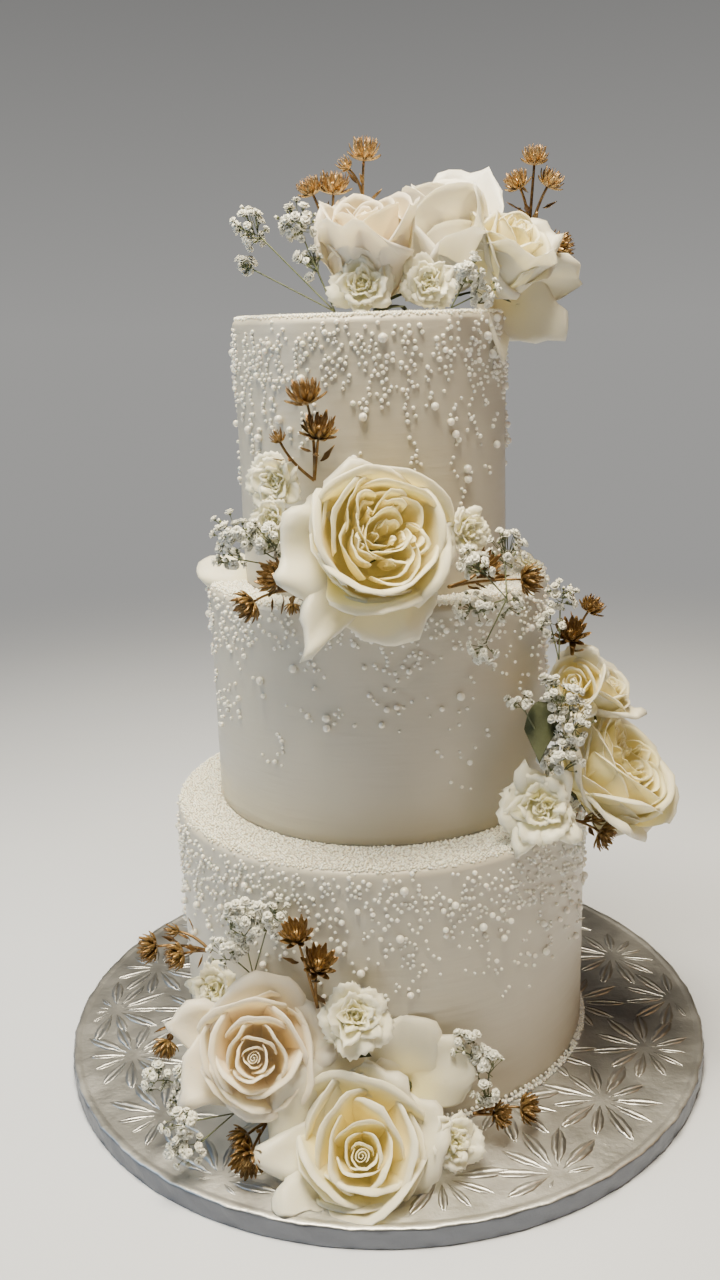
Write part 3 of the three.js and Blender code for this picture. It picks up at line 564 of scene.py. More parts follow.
# ---- Petals -----------------------------------------------------------------------------------------
def turn_petal(out, sideways, along, clock):
    """A petal's grid, turned round its flower's axis to its place on the clock."""
    return np.stack([out * math.sin(clock) + sideways * math.cos(clock),
                     out * math.cos(clock) - sideways * math.sin(clock), along], -1)


def wrap(out, half, bend, u):
    """Bends a petal's width round its flower, and returns how far out and how far sideways it comes."""
    around = u * half / bend
    return out - bend + bend * np.cos(around), bend * np.sin(around)


def guard_grid(petal, chance, rows, columns, outline, frill, roll, waves=3,
               root_radius=PETAL["root_radius"], teeth=0.0):
    """An outer petal: the form of its solid, with its own outline, rolled lip and sides, and soft waves."""
    turn, length, half_width, lean, curl, hug = petal
    cut, power, tip, recurve = OUTLINES[outline]
    fine = np.linspace(0, 1, PETAL_STEPS + 1)
    middle = (fine[1:] + fine[:-1]) / 2
    root = PETAL["root_angle"]
    angle = root + (lean - root) * smooth_step(0, 0.5, middle) + curl * smooth_step(0.6, 1, middle)
    angle = np.radians(angle + roll * smooth_step(0.84, 1, middle))
    out = np.concatenate([[0], np.cumsum(np.sin(angle))]) * length / PETAL_STEPS
    along = np.concatenate([[0], np.cumsum(np.cos(angle))]) * length / PETAL_STEPS
    v = np.linspace(0, 1, rows) ** 0.8
    u = np.sin(np.linspace(-1, 1, columns) * math.pi / 2)
    out = np.interp(v, fine, out)[:, None]
    along = np.interp(v, fine, along)[:, None]
    v = v[:, None]
    u = u[None, :]
    lifted = smooth_step(0.45, 1, v)
    shift = chance.uniform(-0.2, 0.2)
    pointed = tip * np.exp(-(((u - shift) / 0.26) ** 2)) * lifted
    lobes = 0.03 * frill * ripple(u, chance, 4) * lifted
    lobes = lobes + teeth * np.where(np.arange(columns) % 2, 1, -1) * smooth_step(0.85, 1, v)
    skew = chance.uniform(-0.07, 0.07) * u * lifted
    reach = 1 - cut * np.abs(u) ** power + pointed + lobes + skew
    r = root_radius + reach * out
    swell = np.sin(0.5 * math.pi * np.minimum(1, 1.25 * v)) ** 0.8
    half = half_width * (PETAL["root_width"] + (1 - PETAL["root_width"]) * swell)
    radial, sideways = wrap(r, half, r / hug, u)
    grid = turn_petal(radial, sideways, reach * along, math.radians(turn))
    uneven = np.array(chance.uniform(0.6, 1.4, 2))[(u > 0).astype(int)]
    rolled = smooth_step(0.45, 1, np.abs(u)) ** 1.4 * smooth_step(0.3, 0.95, v)
    sides = -recurve * uneven * half_width * rolled
    wavy = frill * smooth_step(0.35, 1, v) * ripple(u, chance, waves, 0.9)
    swells = 0.7 * frill * ripple(u + 0.5 * v, chance, 2) * smooth_step(0.1, 0.5, v)
    crease = -0.6 * frill * np.exp(-(((u - 0.5 * shift) / 0.14) ** 2)) * smooth_step(0.15, 0.6, v)
    return grid + sheet_normal(grid) * (sides + wavy + swells + crease)[..., None], v


def cup_grid(clock, mouth, belly, height, foot, lip, roll, span, bend, chance, columns, frill,
             tuck=0.09, drop=0.2):
    """A petal of the cup: it bellies out from the root, stands up, and rolls its lip outwards."""
    t = np.linspace(0, 1, 7)[:, None]
    u = np.sin(np.linspace(-1, 1, columns) * math.pi / 2)[None, :]
    fold = roll * chance.uniform(0.85, 1.1)
    bow = lip / fold
    crown = height - bow
    outs = (0.25 * mouth, 0.8 * belly, belly, mouth)
    alongs = (foot, foot + 0.08 * (crown - foot), foot + 0.62 * (crown - foot), crown)
    weights = ((1 - t) ** 3, 3 * t * (1 - t) ** 2, 3 * t**2 * (1 - t), t**3)
    wall_out = sum(weight * value for weight, value in zip(weights, outs))
    wall_along = sum(weight * value for weight, value in zip(weights, alongs))
    arc = np.linspace(0, 1, 8)[1:, None]
    shift = chance.uniform(-0.3, 0.3)
    tip = chance.uniform(0.15, 0.55)
    rounding = 1 - 0.5 * np.abs(u) ** 2.4 + tip * np.exp(-(((u - shift) / 0.25) ** 2))
    rounding = rounding * (1 + 0.16 * ripple(u, chance, 5))
    turned = fold * arc * (1.0 - 0.3 * np.exp(-(((u - shift) / 0.4) ** 2)))
    lip_out = mouth + bow * rounding * (1 - np.cos(turned))
    lip_along = crown + bow * rounding * np.sin(turned)
    out = np.concatenate([wall_out + 0 * u, lip_out])
    along = np.concatenate([wall_along + 0 * u, lip_along])
    v = np.concatenate([0.62 * t, 0.62 + 0.38 * arc])
    rise = smooth_step(0.25, 0.62, v)
    falls = drop * chance.uniform(0.7, 1.3) * (height - foot) * np.abs(u) ** 2.4
    lean = chance.uniform(-0.07, 0.07) * height * u
    along = along - (falls + lean) * rise
    side = math.copysign(tuck, chance.uniform(-0.3, 1))
    out = out * (1 + side * u) + frill * ripple(u, chance, 3) * rise
    along = along + frill * ripple(u, chance, 5) * rise * 0.7
    half = 0.5 * span * mouth * (0.78 + 0.22 * smooth_step(0, 0.6, v))
    radial, sideways = wrap(out, half, bend * mouth, u)
    return turn_petal(radial, sideways, along, clock), v


def between(values, share):
    """Runs from the first value to the last, through the middle one if there are three."""
    return np.interp(share, np.linspace(0, 1, len(values)), values)


def add_rolled_heart(shape, centre, radius, top, foot, thickness, chance):
    """The furled middle of a rose: one sheet rolled up as a spiral, its lip turned out a little."""
    theta = np.linspace(0, 2 * math.pi * SPIRAL_TURNS, int(16 * SPIRAL_TURNS))[None, :]
    t = np.linspace(0, 1, 8)[:, None]
    share = theta / theta.max()
    spread = 0.3 + (radius - 0.3) * share
    flared = 0.14 * radius * smooth_step(0.8, 1, t) * (0.3 + share)
    out = spread * (0.75 + 0.3 * smooth_step(0, 0.5, t)) + flared
    out = out * (1 + 0.07 * np.sin(2 * theta)) + 0.05 * radius * ripple(theta / 3, chance, 3)
    rise = top - 0.06 * (top - foot) * share + 0.25 * np.sin(theta * 1.3)
    along = foot + (rise - foot) * (t - 0.05 * smooth_step(0.85, 1, t))
    grid = np.stack([out * np.sin(theta), out * np.cos(theta), along * np.ones_like(theta)], -1)
    add_sheet(shape, centre + grid, thickness, 0.85 * (1 - 0.55 * t), chance.uniform(), thin_lip=0.8)


def rose_shape(rose, thickness, chance):
    """One rose: guard petals, a cup of overlapping petals, its heart, and the green calyx behind."""
    own = Shape()
    radius, depth = rose["radius"], rose["depth"]
    small = radius < SMALL_ROSE
    for petal, outline in zip(rose["petals"], rose["outlines"].split()):
        rows = 13 if small else 18
        roll = chance.uniform(*rose.get("roll", (40, 110)))
        grid, v = guard_grid(petal, chance, rows, rows, outline, 0.05 * petal[1], roll, waves=4)
        add_sheet(own, grid, thickness, 0.75 * (1 - smooth_step(0.05, 0.62, v)), chance.uniform())
    foot = 0.1 * depth
    kind = CUPS[rose["heart"]]
    count = kind["petals"] - (4 if small and kind["petals"] > 8 else 0)
    turned = chance.uniform(0, 2 * math.pi)
    shift = radius * np.array((*rose.get("heart_shift", (0, 0)), 0))
    for i in range(SKIRT_PETALS if count else 0):
        clock = turned + (i + chance.uniform(-0.15, 0.15)) * 2 * math.pi / SKIRT_PETALS
        grid, v = cup_grid(clock, 0.96 * radius, radius, 0.7 * depth, foot, 0.22 * radius,
                           1.4, 1.75, 1.2, chance, 9, 0.04 * radius)
        add_sheet(own, grid, thickness, 0.9 - 0.85 * smooth_step(0.3, 0.8, v), chance.uniform())
    for i in range(count):
        share = i / (count - 1)
        mouth = kind["mouth"] + (1 - kind["mouth"]) * share ** kind["spread"]
        mouth *= radius * chance.uniform(0.95, 1.06)
        belly = mouth * (1.08 - 0.24 * share)
        grid, v = cup_grid(turned + i * GOLDEN_ANGLE + chance.uniform(-0.2, 0.2), mouth, belly,
                           between(kind["heights"], share) * depth * chance.uniform(0.96, 1.0), foot,
                           between(kind["lips"], share**0.7) * radius * chance.uniform(0.85, 1.15),
                           math.radians(between(kind["rolls"], share**0.5)),
                           math.radians(between(kind["wraps"], share**0.5)) * chance.uniform(0.9, 1.12),
                           between(kind["bends"], share), chance, 11 if small else 15,
                           (0.018 + 0.022 * share) * radius, 0.1 + 0.05 * share, 0.1 + 0.18 * share)
        deep = 0.95 - 0.85 * smooth_step(0.3, 0.8, v) + 0.35 * (1 - share) ** 1.5
        add_sheet(own, grid + (1 - share) * shift, thickness, np.clip(deep, 0, 1), chance.uniform())
    if rose["heart"] == "quartered":
        add_quartered_heart(own, radius, depth, thickness, chance)
    if kind["heart"]:
        size, top = kind["heart"]
        add_rolled_heart(own, shift, size * radius, top * depth, foot, thickness, chance)
    add_calyx(own, radius, chance)
    return own


def add_quartered_heart(own, radius, depth, thickness, chance):
    """A full heart: nests of folded petals round a few middles, open towards the flower's own middle."""
    for clock, away, folds in NESTS:
        clock = math.radians(clock + chance.uniform(-8, 8))
        outward = np.array((math.sin(clock), math.cos(clock), 0))
        for nest in range(folds):
            mouth = (0.07 + 0.1 * nest) * radius * chance.uniform(0.9, 1.1)
            height = depth * (0.92 + 0.02 * nest) * chance.uniform(0.93, 1.04)
            grid, v = cup_grid(clock + chance.uniform(-0.6, 0.6), mouth, 0.85 * mouth, height, 0.45 * depth,
                               0.1 * radius, math.radians(chance.uniform(60, 120)),
                               math.radians(chance.uniform(140, 220)), chance.uniform(1.0, 1.7), chance, 15,
                               0.04 * radius, tuck=0.25)
            lean = 0.1 * (grid[..., 2:] - 0.45 * depth) * outward
            jump = away * radius * outward + np.array((*chance.normal(0, 0.025 * radius, 2), 0))
            shade = np.clip(0.95 - 0.42 * smooth_step(0.35, 0.9, v), 0, 1)
            add_sheet(own, grid + jump - lean, thickness, shade, chance.uniform())


def add_calyx(own, radius, chance):
    """The green cup behind the petals, with five narrow sepals and a cut stalk."""
    size = 0.16 * radius + 1.5
    path = [(0, 0, -1.1 * size), (0, 0, -0.7 * size), (0, 0, -0.2 * size), (0, 0, 0.5 * size)]
    add_tube(own, path, [0.3 * size, 0.55 * size, 0.9 * size, size], 10, material=1)
    for i in range(5):
        sepal = (i * 72 + chance.uniform(-14, 14), 2.6 * size, 0.55 * size, 74, 26, 0.5)
        grid = guard_grid(sepal, chance, 7, 5, "pointed", 0.2, 20)[0]
        grid[..., 2] -= 0.3 * size
        add_sheet(own, grid, 0.5, 0.0, chance.uniform(), material=1)


def ruffled_shape(flower, thickness, chance):
    """A small ruffled flower: wide wavy petals in whorls, upright in the heart and flat outside."""
    own = Shape()
    radius = flower["radius"]
    deep = flower["flat"] * radius
    turned = chance.uniform(0, 2 * math.pi)
    for whorl, (count, length, half_width, lean, curl, hug, frill) in enumerate(RUFFLES):
        for i in range(count):
            clock = turned + (i + chance.uniform(-0.2, 0.2)) * 360 / count
            petal = (clock, length * radius * chance.uniform(0.9, 1.08), half_width * radius,
                     lean + chance.uniform(-9, 9), curl, hug)
            outline = "squared" if chance.uniform() < 0.55 else "pointed"
            grid, v = guard_grid(petal, chance, 8, 19, outline, frill * radius * chance.uniform(0.6, 1.0),
                                 chance.uniform(0, 80), waves=8, root_radius=0.8, teeth=0.035)
            grid[..., 2] *= deep / (0.72 * radius)
            grid[..., 2] -= 0.35 * deep
            shade = 1.0 - smooth_step(0.25, 0.8, v) + 0.4 - 0.14 * whorl
            add_sheet(own, grid, thickness, np.clip(shade, 0, 1), chance.uniform())
        turned += 137.5
    return own


def seed_head(own, radius, height, chance):
    """A gilded head: spoon-shaped bracts below, a crown of pointed spikes above, round a small boss."""
    bracts, spikes = (8, 34) if radius > FULL_HEAD else (5, 12)
    for ring, (reach, rise) in enumerate(((1.0, 0.3), (0.92, 0.62), (0.78, 0.84))):
        for i in range(bracts):
            clock = (i + 0.5 * ring + chance.uniform(-0.14, 0.14)) * 2 * math.pi / bracts
            t = np.linspace(0, 1, 6)[:, None]
            u = np.linspace(-1, 1, 3)[None, :]
            out = 1.2 * radius * reach * chance.uniform(0.9, 1.08) * np.sin(t * 1.35) ** 0.8
            along = height * rise * t**1.3 * chance.uniform(0.85, 1.1)
            half = 0.2 * radius * np.sin(math.pi * np.clip(0.12 + 0.84 * t, 0, 1)) ** 0.7
            cupped = 0.35 * half * np.abs(u)
            grid = turn_petal(out - cupped, half * u, along + cupped, clock)
            # The heart mark darkens each bract towards its tip, as painted shade
            add_sheet(own, grid, 0.4, 0.05 + 0.75 * smooth_step(0.6, 1, t), chance.uniform())
    for i in range(spikes):
        clock = i * GOLDEN_ANGLE
        share = math.sqrt((i + 0.5) / spikes)
        t = np.linspace(0, 1, 5)
        out = radius * share * (0.3 + 0.5 * np.sin(t * 1.9))
        along = height * (0.3 + 0.72 * t * chance.uniform(0.8, 1.0)) * (1 - 0.14 * share)
        path = np.stack([out * math.sin(clock), out * math.cos(clock), along], -1)
        # The heart mark darkens each spike towards its tip, as painted shade
        add_tube(own, path, np.array((0.36, 0.42, 0.34, 0.26, 0.1)) * radius / 8, 3,
                 np.repeat(0.1 + 0.8 * t**3, 3).tolist() + [0.1, 0.9], chance.uniform())
    add_balls(own, [(0, 0, 0.3 * height)], [0.4 * radius], FINE_BALL, chance, heart=0.1)


def curved_path(start, end, heading, steps=9):
    """A bent stalk from start to end that arrives along heading."""
    start, end, heading = (np.array(value, float) for value in (start, end, heading))
    heading /= np.linalg.norm(heading)
    bend = end - heading * 0.45 * np.linalg.norm(end - start)
    t = np.linspace(0, 1, steps)[:, None]
    return (1 - t) ** 2 * start + 2 * t * (1 - t) * bend + t**2 * end


def sprig_shape(sprig, chance):
    """A gilded sprig: a stalk to each seed head, with small pointed leaves on the stalks."""
    own = Shape()
    root, heads = sprig
    for at, facing, radius, height in heads:
        head = Shape()
        seed_head(head, radius, height, chance)
        head.place(at, facing)
        own.join(head)
        path = curved_path(root, at, facing)
        add_tube(own, path, np.linspace(1.0, 0.7, len(path)), 6, 0.6, chance.uniform())
        for share in (0.45, 0.7):
            place = path[int(share * (len(path) - 1))]
            leaf = (chance.uniform(0, 360), 0.75 * height, 1.3, chance.uniform(25, 60), -14, 0.4)
            grid = guard_grid(leaf, chance, 6, 5, "pointed", 0.1, 0)[0]
            add_sheet(own, set_out(grid, place, facing), 0.4, 0.7, chance.uniform())
    return own


# ---- Baby's breath ------------------------------------------------------------------------------------
def floret_template(chance, petals):
    """One tiny double flower of unit radius, facing +Z."""
    own = Shape()
    for ring, (count, reach, rise) in enumerate(((petals, 1.0, 0.1), (petals - 1, 0.66, 0.5))):
        for i in range(count):
            clock = (i + 0.5 * ring) * 2 * math.pi / count + chance.uniform(-0.15, 0.15)
            t = np.linspace(0.1, 1, 3)[:, None]
            u = np.linspace(-1, 1, 2)[None, :]
            half = 0.5 * reach * np.sin(0.6 + 1.3 * t)
            out = reach * t - 0.12 * reach * u**2
            along = rise * t**0.6 + 0.25 * t**2 - 0.1 * u**2 + chance.uniform(-0.08, 0.08)
            grid = turn_petal(out, half * u, along, clock)
            add_sheet(own, grid, 0.1, 0.0, chance.uniform(), thin_lip=1.0)
    return own


def breath_shape(sprig, floret_size, chance):
    """A bunch of baby's breath: thin branching stems that end in tiny florets and buds."""
    own = Shape()
    root, clusters = sprig
    templates = [floret_template(chance, count) for count in (5, 6, 5, 6)]
    for at, spread in clusters:
        at = np.array(at, float)
        heading = at - np.array(root, float)
        length = np.linalg.norm(heading)
        fork = at - heading / length * min(0.75 * spread, 0.6 * length)
        add_tube(own, curved_path(root, fork, heading), 0.42, 5, 0.0, chance.uniform(), 1)
        count = int(0.21 * spread**2 + 6)
        twigs = [fork + (at - fork) * 0.5 + chance.normal(0, 0.25 * spread, 3) for _ in range(4)]
        for twig in twigs:
            add_tube(own, curved_path(fork, twig, twig - fork, 4), 0.3, 4, 0.0, chance.uniform(), 1)
        for i in range(count):
            away = chance.normal(0, 1, 3)
            away /= np.linalg.norm(away)
            place = at + away * spread * chance.uniform(0.3, 1.12) ** 0.6 * np.array((1.0, 0.62, 1.0))
            twig = min(twigs, key=lambda tip: np.linalg.norm(tip - place))
            facing = away + np.array((0, -0.35, 0.35)) + heading / length * 0.3
            path = curved_path(twig, place, facing, 4)
            add_tube(own, path, 0.2, 4, 0.0, chance.uniform(), 1)
            size = 0.5 * floret_size * chance.uniform(0.75, 1.15)
            if chance.uniform() < 0.3:
                add_balls(own, [place], [0.42 * size], COARSE_BALL, chance)
                add_balls(own, [place - away * 0.3 * size], [0.4 * size], COARSE_BALL, chance, material=1)
                continue
            template = templates[i % len(templates)]
            turn = chance.uniform(0, 2 * math.pi)
            spin = np.array([(math.cos(turn), -math.sin(turn), 0), (math.sin(turn), math.cos(turn), 0),
                             (0, 0, 1)])
            points = set_out(np.concatenate(template.points) @ spin * size, place, facing)
            faces = np.concatenate([group for group, material in template.faces])
            own.add(points, [faces], 0.0, chance.uniform())
            face = axes_of(facing)[2] * size
            add_balls(own, [place - face * 0.3], [0.34 * size], COARSE_BALL, chance, material=1)
            if chance.uniform() < 0.3:
                add_balls(own, [place + face * 0.4], [0.12 * size], COARSE_BALL, chance, material=1)
    return own


# ---- Board, tiers and pearls ----------------------------------------------------------------------------
def board_shape(relief, chance):
    """The drum board: a foil-wrapped disc with a crinkled edge, pressed with fans of leaves and berries."""
    own = Shape()
    radius, height, edge = BOARD["radius"], BOARD["height"], BOARD["edge"]
    profile = [(0, 0), (radius - edge, 0)]
    profile += [(radius - edge * (1 - math.sin(a)), edge * (1 - math.cos(a))) for a in (0.5, 1.0, 1.57)]
    profile += [(radius, height * share) for share in (0.3, 0.45, 0.6, 0.75)]
    profile += [(radius - edge * (1 - math.cos(a)), height - edge * (1 - math.sin(a)))
                for a in (0, 0.5, 1.0, 1.57)]
    flange = BOARD["flange"]
    profile += [(flange + 2.2, height - 0.05), (flange + 1.2, height - 0.5), (flange, height - 0.55)]
    profile += [(radius_at, height - FOIL_SINK) for radius_at in (flange - 1.4, 170, 150, 130, 100, 50, 0)]
    phases = chance.uniform(0, ANY_PHASE, 12)

    def crinkle(r, z, angle):
        """Draws the side in and folds it, more at some angles than at others."""
        side = smooth_step(radius - 2.5, radius - 0.4, r) * smooth_step(0.0, 1.0, z)
        folds = sum(np.sin(angle * pitch + phases[i] + z * 0.35 * (-1) ** i) / (i + 1.5)
                    for i, pitch in enumerate((37, 61, 97, 149, 211)))
        return r - 0.75 * side * (1 + 0.55 * folds), z

    # Painted shade and reflection: the foil on the board's side is marked to take a dark, bluish colour
    painted_side_shade = [0.9 * (radius_at > radius - 2) * (z < height - 0.6) for radius_at, z in profile]
    shade = np.concatenate([np.repeat(painted_side_shade[1:-1], BOARD_SEGMENTS), [0, 0]])
    add_lathe(own, profile, BOARD_SEGMENTS, (0, 0), crinkle, shade)
    face = height - FOIL_SINK
    for row in range(-4, 5):
        for column in range(-5, 5):
            x = (column + 0.5 * (row % 2)) * FAN_SPACING + chance.uniform(-6, 6)
            y = row * FAN_SPACING * 0.87 + chance.uniform(-6, 6)
            add_fan(own, (x, y), face, relief, chance)
    return own


def add_fan(own, centre, face, relief, chance):
    """Leaves pressed into the foil round one point, with small berries between the fans."""
    turned = chance.uniform(0, ANY_PHASE)
    limit = BOARD["flange"] - 3.0
    for i in range(FAN_LEAVES):
        clock = turned + i * 2 * math.pi / FAN_LEAVES
        direction = np.array((math.cos(clock), math.sin(clock)))
        start = np.array(centre) + direction * 5
        length = chance.uniform(24, 33)
        while np.linalg.norm(start + direction * length) > limit and length > 4:
            length -= 2
        if length <= 6 or np.linalg.norm(start) > limit:
            continue
        t = np.array((0, 0.2, 0.45, 0.7, 0.88, 1.0))
        half = length * 0.17 * np.sin(math.pi * t**1.3) ** 0.8
        ridge = relief * np.sin(math.pi * np.clip(t, 0.03, 0.97)) ** 0.5
        side = np.array((-direction[1], direction[0]))
        line = start + direction * (length * t)[:, None]
        for sign in (-1, 1):
            edge_line = line + side * (half * sign)[:, None]
            top = np.column_stack([line, face - 0.05 + ridge])
            low = np.column_stack([edge_line, np.full(6, face - 0.05)])
            under = np.column_stack([line, np.full(6, face - 0.3)])
            points = np.concatenate([top, low, under])
            index = np.arange(18).reshape(3, 6)
            beside = np.roll(index, -1, axis=0)
            faces = np.stack([index[:, :-1], index[:, 1:], beside[:, 1:], beside[:, :-1]], -1)
            faces = faces.reshape(-1, 4)
            if sign > 0:
                faces = faces[:, ::-1]
            own.add(points, [faces], 0.0, chance.uniform())
    berries = np.array(centre) + np.array((31, 19)) + chance.normal(0, 6, (9, 2))
    berries = berries[np.linalg.norm(berries, axis=1) < limit - 2]
    if len(berries):
        radii = chance.uniform(2.6, 4.2, len(berries))
        centres = np.column_stack([berries, face + relief * 0.7 - radii])
        add_balls(own, centres, radii, FINE_BALL, chance)


def tier_shape(tier, chance):
    """A tier of smooth icing: hand-smoothed walls that waver a little, and a soft top edge."""
    own = Shape()
    radius, top = tier["radius"], tier["top"]
    bottom = tier["floor"] + GAP
    walls = np.linspace(bottom, top - RIM_RADIUS, 22)
    profile = [(0, bottom), (radius - 1.2, bottom), (radius - 0.3, bottom + 0.5)]
    profile += [(radius, z) for z in walls[1:]]
    for angle in np.linspace(0, math.pi / 2, 8)[1:]:
        profile.append((radius - RIM_RADIUS * (1 - math.cos(angle)),
                        top - RIM_RADIUS * (1 - math.sin(angle))))
    profile += [(radius * share, top) for share in (0.9, 0.8, 0.65, 0.45, 0.2, 0)]
    phases = chance.uniform(0, ANY_PHASE, 9)

    def waver(r, z, angle):
        """Presses the wall in a little, unevenly, and the top down."""
        height = (z - bottom) / (top - bottom)
        soft = np.sin(2 * angle + phases[0] + 3 * height) + 0.7 * np.sin(3 * angle + phases[1] - 5 * height)
        soft = soft + 0.5 * np.sin(7 * angle + phases[2] + 6 * height)
        soft = soft + 0.6 * np.sin(9 * height + phases[3])
        out = smooth_step(0.5 * radius, 0.97 * radius, r)
        return r - 0.1 * out * (1.6 + soft), z - 0.06 * (1.6 + np.sin(4 * angle + phases[5])) * (1 - out)

    add_lathe(own, profile, TIER_SEGMENTS, (tier["x"], tier["y"]), waver)
    return own


def solid_pearls(name, tier, number):
    """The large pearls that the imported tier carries, found again by the rule that placed them."""
    factor, step, limit = PEARL_RULE
    state = number
    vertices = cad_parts[name].data.vertices
    corners = np.empty(len(vertices) * 3)
    vertices.foreach_get("co", corners)
    corners = corners.reshape(-1, 3) / MM
    found = []
    for i in range(tier["pearls"] * 2):
        state = (state * factor + step) % limit
        radius = PEARL["smallest"] + (PEARL["largest"] - PEARL["smallest"]) * state / limit
        share = (i + 0.5) / (tier["pearls"] * 1.4)
        drop = RIM_RADIUS + PEARL["start"] + tier["band"] * share**1.5
        around = i * GOLDEN_ANGLE
        reach = tier["radius"] + radius * (1 - 2 * PEARL["sunk"])
        centre = np.array((tier["x"] + reach * math.cos(around), tier["y"] + reach * math.sin(around),
                           tier["top"] - drop))
        if np.linalg.norm(corners - centre, axis=1).min() < radius + 0.1:
            found.append((*centre, radius))
    return found


def wall_pearls(name, tier, number, chance):
    """Pearls on a tier's wall: thick along the rim, thinning down in short strings."""
    fall = PEARL_FALL[name]
    placed = solid_pearls(name, tier, number)
    cells = {}

    def takes_place(x, y, z, radius):
        """Notes a pearl and says yes, unless another pearl is in its way."""
        key = (int(x // CELL), int(y // CELL), int(z // CELL))
        for step in itertools.product((-1, 0, 1), repeat=3):
            for other in cells.get((key[0] + step[0], key[1] + step[1], key[2] + step[2]), ()):
                apart = (x - other[0]) ** 2 + (y - other[1]) ** 2 + (z - other[2]) ** 2
                if apart < (0.97 * (radius + other[3])) ** 2:
                    return False
        cells.setdefault(key, []).append((x, y, z, radius))
        return True

    for pearl in placed:
        takes_place(*pearl)
    phases = chance.uniform(0, ANY_PHASE, 4)
    for string in range(fall["strings"]):
        angle = chance.uniform(0, 2 * math.pi)
        near = string < 0.4 * fall["strings"]
        sway = 1 + 0.3 * math.sin(5 * angle + phases[0]) + 0.25 * math.sin(11 * angle + phases[1])
        if near:
            drop = abs(chance.normal(0, 0.6)) * fall["dense"]
        else:
            drop = fall["dense"] * 0.5 + fall["reach"] * max(0.5, sway) * chance.uniform(0, 1) ** 1.45
        low = smooth_step(0.3 * fall["reach"], fall["reach"], drop)
        longest = 4 if fall["stray"] > 3 else 9
        length = chance.integers(2, longest + 1) if chance.uniform() > 0.7 * low else chance.integers(1, 3)
        for _ in range(length):
            if len(placed) >= fall["most"]:
                break
            kind = chance.uniform()
            radius = chance.uniform(*(COMMON_PEARLS if kind < 0.86 - 0.1 * low else MIDDLING_PEARLS))
            if kind > 0.985 - 0.1 * low:
                radius = chance.uniform(*LARGE_PEARLS)
            reach = tier["radius"] - 0.25 + radius * (1 - 2 * PEARL["sunk"] * 0.6)
            z = tier["top"] - drop - 0.3
            over = RIM_RADIUS - drop
            if over > 0:
                tilt = min(1.0, over / RIM_RADIUS)
                reach -= RIM_RADIUS * (1 - math.cos(tilt * 1.4)) * 0.75
            x = tier["x"] + reach * math.cos(angle)
            y = tier["y"] + reach * math.sin(angle)
            if takes_place(x, y, z, radius):
                placed.append((x, y, z, radius))
            drop += chance.uniform(1.2, 3.6)
            angle += chance.normal(0, fall["stray"]) / tier["radius"]
    return np.array(placed)


def ledge_beads(tier, above, pitch, chance):
    """Fine beads over a tier's flat top, out to its rim and in to the tier above."""
    radius = tier["radius"] - 1.2
    rows = np.arange(-radius, radius, pitch * 0.866)
    found = []
    for number, y in enumerate(rows):
        x = np.arange(-radius, radius, pitch) + 0.5 * pitch * (number % 2)
        found.append(np.column_stack([x, np.full(len(x), y)]))
    spots = np.concatenate(found)
    spots = spots + chance.normal(0, 0.16 * pitch, spots.shape)
    away = np.linalg.norm(spots, axis=1)
    spots = spots + np.array((tier["x"], tier["y"]))
    kept = (away < radius) & (chance.uniform(0, 1, len(spots)) > 0.06)
    if above:
        inner = np.linalg.norm(spots - np.array((above["x"], above["y"])), axis=1)
        kept &= inner > above["radius"] + 0.5
    spots, away = spots[kept], away[kept]
    radii = chance.uniform(0.42, 0.6, len(spots)) * pitch * 0.95
    over = np.clip(away - radius - 1.2 + RIM_RADIUS, 0, RIM_RADIUS) / RIM_RADIUS
    dip = RIM_RADIUS * (1 - np.sqrt(np.clip(1 - over**2, 0, 1)))
    height = tier["top"] - dip + radii * 0.45 + chance.uniform(0, 0.35, len(spots))
    return np.column_stack([spots, height]), radii


def border_beads(tier, chance):
    """The border round the foot of the lowest tier: three uneven rows of beads."""
    centres = []
    radii = []
    for reach, height, count in BORDER_ROWS:
        for i in range(count):
            if chance.uniform() < 0.08:
                continue
            angle = (i + chance.uniform(-0.25, 0.25)) * 2 * math.pi / count
            radius = chance.uniform(0.95, 1.3)
            out = tier["radius"] + reach + chance.uniform(-0.15, 0.15)
            centres.append((tier["x"] + out * math.cos(angle), tier["y"] + out * math.sin(angle),
                            tier["floor"] + height))
            radii.append(radius)
    return np.array(centres), np.array(radii)


# ---- Materials ----------------------------------------------------------------------------------------
def fill(node, **values):
    """Sets inputs of a node by name, with an underscore for each space."""
    for key, value in values.items():
        node.inputs[key.replace("_", " ")].default_value = value


def add_node(tree, kind, **settings):
    """Adds a node; a setting is a property of the node, or else the value of the input of that name."""
    node = tree.nodes.new(kind)
    for key, value in settings.items():
        if hasattr(node, key):
            setattr(node, key, value)
        else:
            fill(node, **{key: value})
    return node


def add_math(tree, operation, values=None, **settings):
    """Adds a maths node and fills the inputs whose places are given."""
    node = add_node(tree, "ShaderNodeMath", operation=operation, **settings)
    for place, value in (values or {}).items():
        node.inputs[place].default_value = value
    return node


def add_mix(tree, first, second):
    """Adds a mix of two plain colours."""
    return add_node(tree, "ShaderNodeMix", data_type="RGBA", A=(*first, 1), B=(*second, 1))


def add_mark(tree, label):
    """Reads one of the point attributes, "heart" or "tint"."""
    return add_node(tree, "ShaderNodeAttribute", attribute_name=label)


def link_nodes(tree, *pairs):
    """Links (node, output) to (node, input) for each pair."""
    for (source, output), (target, entry) in pairs:
        tree.links.new(source.outputs[output], target.inputs[entry])


